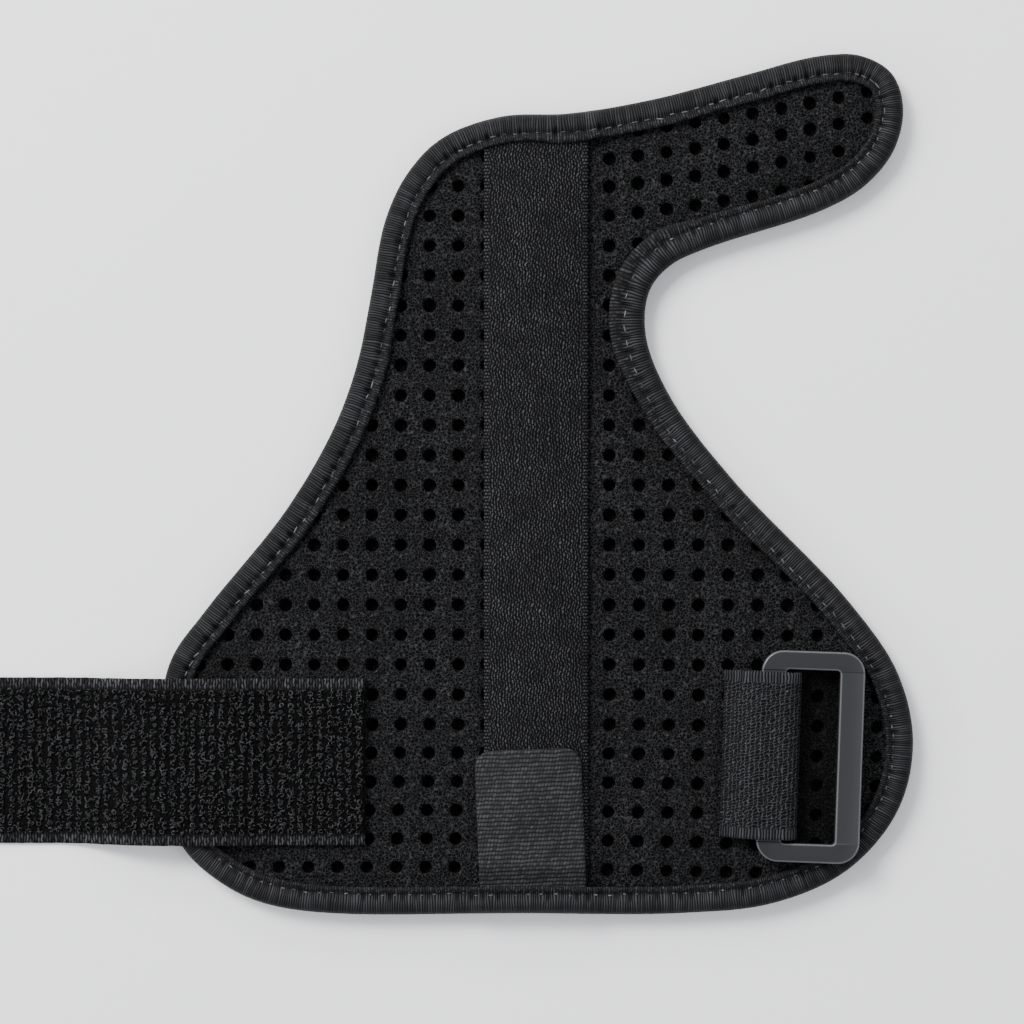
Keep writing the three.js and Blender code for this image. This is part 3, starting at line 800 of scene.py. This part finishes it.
class SPLINT_OT_panel(bpy.types.Operator):
    """Makes the perforated foam sheet"""
    bl_idname = "splint.panel"
    bl_label = "Perforated panel"

    def execute(self, context):
        sizes = context.scene.splint_sizes
        material = foam_material(context.scene.splint_colours)
        path, _ = smooth_closed(RIM, 1.6 * MM)
        slab = self.slab(path)
        trim = self.trim(path)
        cutters = self.cutters(perforation_places(sizes), sizes.hole / 2)
        for other, operation in ((trim, "INTERSECT"), (cutters, "DIFFERENCE")):
            cut = slab.modifiers.new("cut", "BOOLEAN")
            cut.object, cut.operation, cut.solver = other, operation, "MANIFOLD"
        graph = context.evaluated_depsgraph_get()
        bm = bmesh.new()
        bm.from_mesh(slab.evaluated_get(graph).to_mesh())
        for helper in (slab, trim, cutters):
            bpy.data.objects.remove(helper)
        bmesh.ops.remove_doubles(bm, verts=bm.verts, dist=1e-6)
        self.swell(bm)
        piece = finish_piece(bm, "perforated_panel_foam", material, "perforated_panel")
        mark_sharp(piece, 35)
        return {"FINISHED"}

    def slab(self, path):
        """A dense flat slab that covers the whole panel."""
        low, high = path.min(axis=0) - 3 * MM, path.max(axis=0) + 3 * MM
        step = 1.7 * MM
        counts = [int(math.ceil((high[k] - low[k]) / step)) for k in (0, 1)]
        bm = bmesh.new()
        bmesh.ops.create_grid(bm, x_segments=counts[0], y_segments=counts[1], size=0.5)
        bmesh.ops.scale(bm, vec=(high[0] - low[0], high[1] - low[1], 1), verts=bm.verts)
        middle = (low + high) / 2
        bmesh.ops.translate(bm, vec=(middle[0], middle[1], FOAM_LOW.z), verts=bm.verts)
        thicken(bm, FOAM_HIGH.z - FOAM_LOW.z)
        return linked("slab", mesh_of(bm, "slab"))

    def trim(self, path):
        """The panel's outline as a prism that reaches past the slab."""
        bm = bmesh.new()
        corners = [bm.verts.new((x, y, FOAM_LOW.z - 1 * MM)) for x, y in path]
        bm.faces.new(corners)
        thicken(bm, FOAM_HIGH.z - FOAM_LOW.z + 2 * MM)
        return linked("trim", mesh_of(bm, "trim"))

    def cutters(self, places, radius):
        """Round plugs that flare a little at the foam's face, so that each rim is soft."""
        plug = self.plug()
        placed = []
        for x, y in places:
            size = radius * random.uniform(0.96, 1.05)
            turn = Matrix.Rotation(random.uniform(0, math.pi), 4, "Z")
            squash = Matrix.Diagonal((size * random.uniform(0.95, 1.05), size, 1.0, 1.0))
            placed.append((plug, Matrix.Translation((x, y, FOAM_HIGH.z)) @ turn @ squash))
        return linked("plugs", mesh_of(copies(placed), "plugs"))

    def plug(self):
        """One plug of unit radius whose flare ends just above the foam's face."""
        bm = bmesh.new()
        bottom = FOAM_LOW.z - FOAM_HIGH.z - 0.5 * MM
        bmesh.ops.create_circle(bm, cap_ends=True, segments=20, radius=1.0)
        bmesh.ops.translate(bm, vec=(0, 0, bottom), verts=bm.verts)
        faces, height, width = bm.faces[:], bottom, 1.0
        for level, flare in FLARE:
            level *= MM
            rim = [e for f in faces for e in f.edges]
            made = bmesh.ops.extrude_face_region(bm, geom=faces + rim)["geom"]
            verts = [g for g in made if isinstance(g, bmesh.types.BMVert)]
            faces = [g for g in made if isinstance(g, bmesh.types.BMFace)]
            bmesh.ops.translate(bm, vec=(0, 0, level - height), verts=verts)
            bmesh.ops.scale(bm, vec=(flare / width, flare / width, 1), verts=verts)
            height, width = level, flare
        return shape_of(bm, "plug")

    def swell(self, bm):
        """Lets the foam rise and sink softly, and pulls it down towards the seam."""
        top = [v for v in bm.verts if v.co.z > FOAM_HIGH.z - 0.6 * MM]
        depth = depth_inside(np.array([(v.co.x, v.co.y) for v in top]))
        slope = 1 - smoothstep(depth, TAPE_WIDTH, TAPE_WIDTH + 6 * MM)
        groove = 1 - smoothstep(depth, TAPE_WIDTH + 0.3 * MM, TAPE_WIDTH + 2.6 * MM)
        for vert, pull in zip(top, slope + 2.6 * groove):
            soft = noise.noise(Vector((vert.co.x, vert.co.y, 0)) / (17 * MM))
            fine = noise.noise(Vector((vert.co.x, vert.co.y, 9)) / (6 * MM))
            vert.co.z += (0.12 * soft + 0.06 * fine - 0.12) * MM - 0.15 * MM * pull


def mark_sharp(piece, degrees):
    """Keeps a hard shading edge wherever two faces meet at more than the angle."""
    bm = bmesh.new()
    bm.from_mesh(piece.data)
    limit = math.radians(degrees)
    for edge in bm.edges:
        edge.smooth = len(edge.link_faces) == 2 and edge.calc_face_angle(math.pi) < limit
    bm.to_mesh(piece.data)
    bm.free()


class SPLINT_OT_lining(bpy.types.Operator):
    """Makes the plain lining that closes the perforations from behind"""
    bl_idname = "splint.lining"
    bl_label = "Lining"

    def execute(self, context):
        material = lining_material(context.scene.splint_colours)
        path, _ = smooth_closed(RIM, 1.6 * MM)
        bm = bmesh.new()
        corners = [bm.verts.new((x, y, 0)) for x, y in path]
        outline = bm.faces.new(corners)
        area = outline.calc_area()
        step = 3 * MM
        low, high = path.min(axis=0), path.max(axis=0)
        for axis, normal in ((0, (1, 0, 0)), (1, (0, 1, 0))):
            for place in np.arange(low[axis] + step, high[axis], step):
                point = (place, 0, 0) if axis == 0 else (0, place, 0)
                bmesh.ops.bisect_plane(bm, geom=bm.verts[:] + bm.edges[:] + bm.faces[:], dist=1e-7,
                                       plane_co=point, plane_no=normal)
        flat = np.array([(v.co.x, v.co.y) for v in bm.verts])
        loose = smoothstep(depth_inside(flat), TAPE_WIDTH, TAPE_WIDTH + 10 * MM)
        for vert, share in zip(bm.verts, loose):
            sag = noise.noise(Vector((vert.co.x, vert.co.y, 3)) / (24 * MM))
            vert.co.z = LINING_LOW.z - share * (0.25 + 0.25 * sag) * MM
        bmesh.ops.recalc_face_normals(bm, faces=bm.faces)
        if sum(f.normal.z for f in bm.faces) > 0:
            bmesh.ops.reverse_faces(bm, faces=bm.faces)
        thicken(bm, LINING_HIGH.z - LINING_LOW.z)
        piece = finish_piece(bm, "lining_knit", material, "lining")
        mark_sharp(piece, 50)
        return {"FINISHED"}


# The binding

def tuck_lift(points):
    """How far the upper flange is lifted over the tucked ends of the strip and the tab."""
    half = STRIP_WIDTH / 2
    lift = np.zeros(len(points))
    tucks = ((STRIP_X, STRIP_HIGH.y + 6 * MM, 1.5 * MM), (STRIP_X - 0.8 * MM, PANEL_LOW.y, 1.3 * MM))
    for x, y, amount in tucks:
        beside = np.abs(points[:, 0] - x) - half
        near = np.abs(points[:, 1] - y) < 12 * MM
        lift = np.maximum(lift, near * amount * (1 - smoothstep(beside, 1.0 * MM, 4.0 * MM)))
    return lift


def gather_points(pitch=3.1 * MM):
    """The needle holes, where the seam gathers the tape: places along the edge and how hard each pulls."""
    random.seed(SEED)
    places, pulls, at = [], [], 0.0
    while at < PERIMETER - 0.7 * pitch:
        places.append(at)
        pulls.append(random.uniform(0.1, 1.0) ** 1.5)
        at += random.uniform(0.84, 1.16) * pitch
    return np.array(places), np.array(pulls)


HOLES, PULLS = gather_points()
HOLE_ENDS = np.append(HOLES[1:], PERIMETER)


def gather_at(distance):
    """How hard a place along the edge is pulled down, how far it lies between two holes, and their span."""
    before = np.searchsorted(HOLES, distance, side="right") - 1
    after = (before + 1) % len(HOLES)
    low, high = HOLES[before], HOLE_ENDS[before]
    reach = 0.36 * MM
    pull = max(PULLS[before] * math.exp(-((distance - low) / reach) ** 2),
               PULLS[after] * math.exp(-((high - distance) / reach) ** 2))
    return pull, (distance - low) / (high - low), high - low


class SPLINT_OT_binding(bpy.types.Operator):
    """Makes the folded and gathered edge tape"""
    bl_idname = "splint.binding"
    bl_label = "Edge binding"

    def execute(self, context):
        material = binding_material(context.scene.splint_colours)
        lifts = tuck_lift(EDGE)
        hollow = hollow_bends()
        count = len(EDGE)

        def place(i, j):
            inset, height, lift, gathers = BINDING_SECTION[j]
            walked, i = i * PERIMETER / count, i % count
            distance = i * PERIMETER / count
            if height > UPPER_SIDE:
                inset += max(0.0, inset - SEAM_INSET) * hollow[i]  # the flange fans out in the notch
            pinch, through, span = gather_at(distance)
            swell = math.sin(math.pi * through)
            slow = noise.noise(Vector((distance / (9 * MM), inset * 0.2, 5.0)))
            fine = noise.noise(Vector((distance / (2.2 * MM), inset * 0.35, 1.0)))
            near_seam = math.exp(-((inset - 4.6) / 1.3) ** 2)
            puff = 0.06 * swell + 0.07 * slow + 0.05 * fine - 0.05
            rise = gathers * (puff - (0.16 + 0.38 * near_seam) * pinch)
            x, y = EDGE[i] + EDGE_INWARD[i] * (inset * MM + gathers * (0.05 * slow + 0.04 * fine) * MM)
            z = height * MM + lift * lifts[i] + rise * MM
            fan = math.exp(-((inset - SEAM_INSET) / 2.0) ** 2) if height > UPPER_SIDE else 0.0
            shifted = walked + fan * 0.06 * span * math.sin(2 * math.pi * through)
            return Vector((x, y, max(z, 0.0))), shifted, SECTION_GIRTH[j]

        # Painted shade: how dark the upper side is painted in the pinched crease at each needle hole,
        # stronger where the seam pulls harder
        def needle_pinch_shade(i, j):
            inset, height = BINDING_SECTION[j][:2]
            if height <= UPPER_SIDE:
                return 0.0
            spread = 1.2 if inset < NEEDLE_INSET else 0.6
            pinch = gather_at(i % count * PERIMETER / count)[0]
            return pinch * math.exp(-((inset - NEEDLE_INSET) / spread) ** 2)

        bm = sweep(len(BINDING_SECTION), count, True, place, needle_pinch_shade)
        piece = finish_piece(bm, "edge_binding_tape", material, "edge_binding")
        return {"FINISHED"}


class SPLINT_OT_stitches(bpy.types.Operator):
    """Sews the lock stitches along the binding"""
    bl_idname = "splint.stitches"
    bl_label = "Binding stitches"

    def execute(self, context):
        sizes = context.scene.splint_sizes
        material = thread_material(context.scene.splint_colours)
        random.seed(SEED + 1)
        lifts = tuck_lift(EDGE)
        seam_height = 5.76 * MM
        bead = bmesh.new()
        bmesh.ops.create_uvsphere(bead, u_segments=8, v_segments=6, radius=1.0)
        stitch = shape_of(bead, "stitch")
        placed = []
        for low, high in zip(HOLES, HOLE_ENDS):
            i = round((low + high) / 2 / PERIMETER * len(EDGE)) % len(EDGE)
            inward = Vector((*EDGE_INWARD[i], 0))
            turn = Matrix.Rotation(math.atan2(-inward.x, inward.y) + random.gauss(0, 0.15), 4, "Z")
            beside_ring = float(1 - smoothstep(EDGE[i][1], -50 * MM, -30 * MM))
            # The stitches sink in along the hem and beside the ring, and show less there
            sunk = max(0.0, inward.y, -inward.x * beside_ring)
            reach = (high - low) * random.uniform(0.42, 0.62) / 2 * (1 - 0.45 * sunk)
            x, y = EDGE[i] + EDGE_INWARD[i] * (sizes.stitch_inset + random.gauss(0, 0.15) * MM)
            z = seam_height + lifts[i] + random.uniform(-0.2, 0.06) * MM
            thick = sizes.thread / 2 * random.uniform(0.8, 1.1)
            shape = Matrix.Diagonal((reach, thick, thick * 0.8, 1.0))
            placed.append((stitch, Matrix.Translation((x, y, z)) @ turn @ shape))
        finish_piece(copies(placed), "binding_stitches", material)
        return {"FINISHED"}


# The webbing

def band_corners(half, columns, thickness, rim=0.25 * MM):
    """Corners round the section of a flat band: across, height above its underside."""
    across = np.linspace(-half + rim, half - rim, columns)
    under = [(float(x), 0.0) for x in across]
    right = [(half, thickness * 0.3), (half, thickness * 0.7)]
    above = [(float(x), thickness) for x in across[::-1]]
    left = [(-half, thickness * 0.7), (-half, thickness * 0.3)]
    return under + right + above + left


def rounded_half(at, end, half, corner):
    """The half width of a band whose far end has round corners."""
    left = max(0.0, abs(end - at))
    if left >= corner:
        return half
    return half - corner + math.sqrt(max(0.0, corner**2 - (corner - left) ** 2))


def crown_at(x, y):
    """The height of the sleeve's hollow over a place, as in the frame."""
    crown = 1.2 * MM
    fade = 16 * MM
    across = min(1.0, abs(x - STRIP_X) / (STRIP_WIDTH / 2))
    low, high = STRIP_LOW.y, STRIP_HIGH.y
    along = float(smoothstep(y, low, low + fade)) * (1 - float(smoothstep(y, high - fade, high)))
    return crown * (1 - across**2) * along


class SPLINT_OT_strip(bpy.types.Operator):
    """Makes the stay strip down the middle"""
    bl_idname = "splint.strip"
    bl_label = "Stay strip"

    def execute(self, context):
        material = webbing_material(context.scene.splint_colours)
        thickness = 1.2 * MM
        corners = band_corners(STRIP_WIDTH / 2, 31, thickness)
        low, high = STRIP_LOW.y, STRIP_HIGH.y
        stations = int((high - low) / (1.2 * MM))

        def place(i, j):
            across, height = corners[j]
            y = low + (high - low) * i / (stations - 1)
            ripple = noise.noise(Vector((across / (9 * MM), y / (14 * MM), 2))) * 0.1 * MM
            at_edge = abs(across) > STRIP_WIDTH * 0.49
            wander = noise.noise(Vector((0, y / (3 * MM), 7))) * 0.08 * MM if at_edge else 0.0
            settled = ripple * (1 - (2 * abs(across) / STRIP_WIDTH) ** 4)
            z = ON_FOAM + crown_at(STRIP_X + across, y) + height + settled
            return Vector((STRIP_X + across + wander, y, z)), y - low, across

        bm = sweep(len(corners), stations, False, place)
        piece = finish_piece(bm, "stay_strip_webbing", material, "stay_strip")
        return {"FINISHED"}


class SPLINT_OT_tab(bpy.types.Operator):
    """Makes the grosgrain tab over the strip's lower end"""
    bl_idname = "splint.tab"
    bl_label = "Stay tab"

    def execute(self, context):
        material = grosgrain_material(context.scene.splint_colours)
        thickness, half, reach, corner = 1.0 * MM, STRIP_WIDTH / 2 + 0.3 * MM, 37.6 * MM, 4.3 * MM
        foot = Vector((STRIP_X - 0.55 * MM, PANEL_LOW.y + 2.5 * MM, 0))
        stations = 150
        corners = band_corners(half, 31, thickness)
        climb_low, climb_high = PANEL_LOW.y + TAPE_WIDTH + GAP, STRIP_LOW.y - 0.8 * MM

        def place(i, j):
            share = i / (stations - 1)
            at = reach * (1 - (1 - share) ** 1.25)
            width = rounded_half(at, reach, half, corner) / half
            across, height = corners[j]
            across *= width
            x = foot.x + across * math.cos(TAB_LEAN) - at * math.sin(TAB_LEAN)
            y = foot.y + across * math.sin(TAB_LEAN) + at * math.cos(TAB_LEAN)
            climb = float(smoothstep(y, climb_low, climb_high))
            soft = 0.07 * MM * noise.noise(Vector((x, y, 0)) / (8 * MM))
            z = ON_FOAM + climb * 1.5 * MM + crown_at(x, y) + height + max(soft, 0)
            return Vector((x, y, z)), at, across

        bm = sweep(len(corners), stations, False, place)
        piece = finish_piece(bm, "stay_tab_grosgrain", material, "stay_tab")
        return {"FINISHED"}


def strap_profile():
    """The strap's underside height over x, from the frame's own solid."""
    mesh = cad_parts["closure_strap"].data
    lowest = {}
    for vert in mesh.vertices:
        key = round(vert.co.x / (0.01 * MM))
        lowest[key] = min(lowest.get(key, 1.0), vert.co.z)
    xs = np.array(sorted(lowest)) * 0.01 * MM
    zs = np.array([lowest[k] for k in sorted(lowest)])
    return xs, zs


class SPLINT_OT_strap(bpy.types.Operator):
    """Makes the closure strap and its pile of small loops"""
    bl_idname = "splint.strap"
    bl_label = "Closure strap"

    def execute(self, context):
        sizes = context.scene.splint_sizes
        colours = context.scene.splint_colours
        random.seed(SEED + 2)
        self.xs, self.zs = strap_profile()
        half = STRAP_HALF
        field_half = half - sizes.selvedge
        thickness, field_rise = 1.1 * MM, 0.25 * MM
        corners = band_corners(half, 41, thickness)
        low, high = STRAP_LOW.x, STRAP_HIGH.x
        stations = int((high - low) / (0.8 * MM))

        def place(i, j):
            x = high + (low - high) * i / (stations - 1)
            width = rounded_half(x, low, half, 3 * MM) / half
            across, height = corners[j]
            at_edge = abs(across) > half * 0.98
            wander = 0.1 * MM * noise.noise(Vector((x / (2.2 * MM), 0, 4))) if at_edge else 0.0
            field = float(1 - smoothstep(abs(across), field_half, field_half + 0.8 * MM))
            raised = field_rise * field if height > 0 else 0.0
            z = float(np.interp(x, self.xs, self.zs)) + height + raised
            return Vector((x, STRAP_Y + across * width + wander, z)), high - x, across

        bm = sweep(len(corners), stations, False, place)
        weave = strap_material(colours)
        ground = finish_piece(bm, "closure_strap_ground", weave, "closure_strap")
        pile = self.pile(sizes, field_half, thickness + field_rise, pile_material(colours))
        return {"FINISHED"}

    def pile(self, sizes, field_half, ground, material):
        """The field of small curls: one round curl and three strays at each place of the weave."""
        curls = [self.curl(turn, 0.5 * MM) for turn in (200, 240, 270, 300)]
        strays = [self.curl(turn, 0.34 * MM) for turn in (110, 150, 190)]
        low, high = STRAP_LOW.x + 1.2 * MM, STRAP_HIGH.x - 0.2 * MM
        reach = field_half + 0.3 * MM
        columns = round((high - low) / sizes.pile_column)
        rows = round(2 * reach / sizes.pile_row)
        # Shapes, and how far they lie off their place along and across the strap
        kinds = ((curls, 0.08, 0.1), (strays, 0.18, 0.4), (strays, 0.26, 0.5), (strays, 0.38, 0.5))
        placed = []
        for column in range(columns):
            for row in range(rows):
                for shapes, aside, spread in kinds:
                    x = low + (column + 0.5 + random.gauss(0, aside)) * (high - low) / columns
                    across = -reach + (row + 0.5 + random.gauss(0, spread)) * 2 * reach / rows
                    if not (low < x < high and abs(across) < reach):
                        continue
                    spin = Matrix.Rotation(random.uniform(0, 2 * math.pi), 4, "Z")
                    tips = [Matrix.Rotation(random.gauss(0, 0.4), 4, axis) for axis in "XY"]
                    size = Matrix.Scale(random.uniform(0.85, 1.2), 4)
                    z = float(np.interp(x, self.xs, self.zs)) + ground + 0.22 * MM
                    place = Matrix.Translation((x, STRAP_Y + across, z))
                    placed.append((random.choice(shapes), place @ (tips[0] @ tips[1]) @ spin @ size))
        return finish_piece(copies(placed), "closure_strap_pile", material)

    def curl(self, degrees, radius):
        """One curl of yarn: a small round section spun part of the way round."""
        bm = bmesh.new()
        thick = 0.13 * MM
        made = bmesh.ops.create_circle(bm, cap_ends=True, segments=4, radius=thick)["verts"]
        bmesh.ops.rotate(bm, verts=made, cent=(0, 0, 0), matrix=Matrix.Rotation(math.pi / 2, 3, "X"))
        bmesh.ops.translate(bm, verts=made, vec=(radius, 0, 0))
        start = bm.faces[:]
        bmesh.ops.spin(bm, geom=start, cent=(0, 0, 0), axis=(0, 0, 1), dvec=(0, 0, 0.012 * MM),
                       angle=math.radians(degrees), steps=max(3, degrees // 42))
        return shape_of(bm, "curl")


# The buckle

class SPLINT_OT_ring(bpy.types.Operator):
    """Makes the moulded ring"""
    bl_idname = "splint.ring"
    bl_label = "Ring"

    def execute(self, context):
        material = plastic_material(context.scene.splint_colours)
        outer = (24.7 * MM, 50.5 * MM)
        slot = (12.9 * MM, 41.5 * MM)
        rounding = 0.42 * MM
        bm = bmesh.new()
        rim = bm.faces.layers.float.new("rim")
        rims = []
        for (width, tall), corner, steps in ((outer, 5.2 * MM, 10), (slot, 0.9 * MM, 5)):
            verts = bmesh.ops.create_grid(bm, x_segments=1, y_segments=1, size=0.5)["verts"]
            bmesh.ops.scale(bm, vec=(width, tall, 1), verts=verts)
            rounded = bmesh.ops.bevel(bm, geom=verts, offset=corner, offset_type="OFFSET",
                                      affect="VERTICES", segments=steps, profile=0.5, material=-1)
            faces = list({f for v in rounded["verts"] for f in v.link_faces})
            rims += [e for f in faces for e in f.edges]
            bmesh.ops.delete(bm, geom=faces, context="FACES_ONLY")
        bmesh.ops.bridge_loops(bm, edges=list(set(rims)))
        bmesh.ops.translate(bm, vec=(0, 0, RING_LOW.z), verts=bm.verts)
        thicken(bm, RING_HIGH.z - RING_LOW.z)
        brim = [e for e in bm.edges if e.is_manifold and e.calc_face_angle(0) > 1.2
                and all(abs(v.co.z - e.verts[0].co.z) < 1e-6 for v in e.verts)]
        rounded = bmesh.ops.bevel(bm, geom=brim, offset=rounding, offset_type="OFFSET", affect="EDGES",
                                  segments=4, profile=0.5, material=-1, clamp_overlap=True)
        # The rounded rim faces get the "rim" attribute, which the material paints lighter as a highlight
        for face in rounded["faces"]:
            face[rim] = 1.0
        bmesh.ops.transform(bm, matrix=RING_PLACE, verts=bm.verts)
        piece = finish_piece(bm, "buckle_ring_moulded", material, "buckle_ring")
        mark_sharp(piece, 40)
        return {"FINISHED"}


class SPLINT_OT_loop(bpy.types.Operator):
    """Makes the elastic loop that holds the ring"""
    bl_idname = "splint.loop"
    bl_label = "Ring loop"

    def execute(self, context):
        material = elastic_material(context.scene.splint_colours)
        bar_left, slot_left = -12.35 * MM, -6.45 * MM
        tail, fold = bar_left - 8.6 * MM, slot_left + 3.8 * MM
        web = 1.2 * MM
        low = LOOP_LOW.z
        ring_low, ring_high = RING_LOW.z, RING_HIGH.z
        top = ring_high + GAP + web
        middle, radius = (low + top) / 2, (top - low) / 2 - web / 2
        bend = fold - radius - web / 2
        route = [(x, low + web / 2) for x in (tail, tail + 3 * MM, bar_left, bend)]
        for angle in np.linspace(0.15, math.pi / 2, 6):
            route.append((bend + radius * math.sin(angle), middle - radius * math.cos(angle)))
        # The upper side slopes down into the slot from the bar's edge
        slant = bend + radius - slot_left - 0.1 * MM
        for angle in np.linspace(math.pi / 2, math.pi - 0.2, 7)[1:]:
            back = slant * (1 - math.sin(angle) ** 1.35)
            route.append((bend + radius - back, middle + radius * abs(math.cos(angle)) ** 1.15))
        route += [(bar_left + 2 * MM, top - web / 2), (bar_left - 0.6 * MM, top - web / 2 - 0.05 * MM),
                  (bar_left - 3.2 * MM, top - 1.7 * MM), (tail + 3.2 * MM, low + 2.0 * web + 0.25 * MM),
                  (tail + 0.9 * MM, low + 1.5 * web), (tail, low + 1.5 * web)]
        line = self.evened(np.array(route), 0.45 * MM)
        half = 20 * MM  # the elastic is 40 mm wide
        corners = band_corners(half, 61, web)
        lean = np.gradient(line, axis=0)
        lean /= np.linalg.norm(lean, axis=1)[:, None]
        walked = np.concatenate([[0], np.cumsum(np.linalg.norm(np.diff(line, axis=0), axis=1))])

        def place(i, j):
            across, height = corners[j]
            off = height - web / 2
            x = line[i][0] + lean[i][1] * off
            z = line[i][1] - lean[i][0] * off
            ripple = 0.12 * MM * noise.noise(Vector((walked[i] / (5 * MM), across / (6 * MM), 3)))
            waver = 0.12 * MM * noise.noise(Vector((walked[i] / (1.5 * MM), 1, 8)))
            frayed = waver if abs(across) > half * 0.98 else 0.0
            lift = ripple if middle < z < ring_low else 0.0
            return Vector((x, across + frayed, z + lift)), walked[i], across

        bm = sweep(len(corners), len(line), False, place)
        bmesh.ops.transform(bm, matrix=RING_PLACE, verts=bm.verts)
        piece = finish_piece(bm, "ring_loop_elastic", material, "ring_loop")
        return {"FINISHED"}

    def evened(self, points, step):
        """An open smooth line through the points, in even steps."""
        a = np.vstack([2 * points[0] - points[1], points, 2 * points[-1] - points[-2]])
        fine = []
        for k in range(1, len(a) - 2):
            chord = np.linalg.norm(a[k + 1] - a[k])
            leave = (a[k + 1] - a[k - 1]) / (np.linalg.norm(a[k] - a[k - 1]) + chord) * chord
            arrive = (a[k + 2] - a[k]) / (np.linalg.norm(a[k + 2] - a[k + 1]) + chord) * chord
            for t in np.linspace(0, 1, 12, endpoint=False):
                fine.append((2 * t**3 - 3 * t**2 + 1) * a[k] + (t**3 - 2 * t**2 + t) * leave
                            + (3 * t**2 - 2 * t**3) * a[k + 1] + (t**3 - t**2) * arrive)
        fine.append(points[-1])
        fine = np.array(fine)
        walked = np.concatenate([[0], np.cumsum(np.linalg.norm(np.diff(fine, axis=0), axis=1))])
        at = np.linspace(0, walked[-1], int(walked[-1] / step))
        return np.stack([np.interp(at, walked, fine[:, k]) for k in (0, 1)], axis=1)


OPERATORS = (SPLINT_OT_stage, SPLINT_OT_panel, SPLINT_OT_lining, SPLINT_OT_binding, SPLINT_OT_stitches,
             SPLINT_OT_strip, SPLINT_OT_tab, SPLINT_OT_strap, SPLINT_OT_ring, SPLINT_OT_loop)


class SPLINT_PT_panel(bpy.types.Panel):
    bl_idname = "SPLINT_PT_panel"
    bl_label = "Splint"
    bl_space_type = "VIEW_3D"
    bl_region_type = "UI"
    bl_category = "Splint"

    def draw(self, context):
        for operator in OPERATORS:
            self.layout.operator(operator.bl_idname)


CLASSES = (SplintSizes, SplintColours, *OPERATORS, SPLINT_PT_panel)


def register():
    for cls in CLASSES:
        bpy.utils.register_class(cls)
    bpy.types.Scene.splint_sizes = PointerProperty(type=SplintSizes)
    bpy.types.Scene.splint_colours = PointerProperty(type=SplintColours)


def unregister():
    del bpy.types.Scene.splint_colours
    del bpy.types.Scene.splint_sizes
    for cls in reversed(CLASSES):
        bpy.utils.unregister_class(cls)


def main():
    register()
    random.seed(SEED)
    for operator in OPERATORS:
        getattr(bpy.ops.splint, operator.bl_idname.split(".")[1])()


if __name__ == "__main__":
    main()
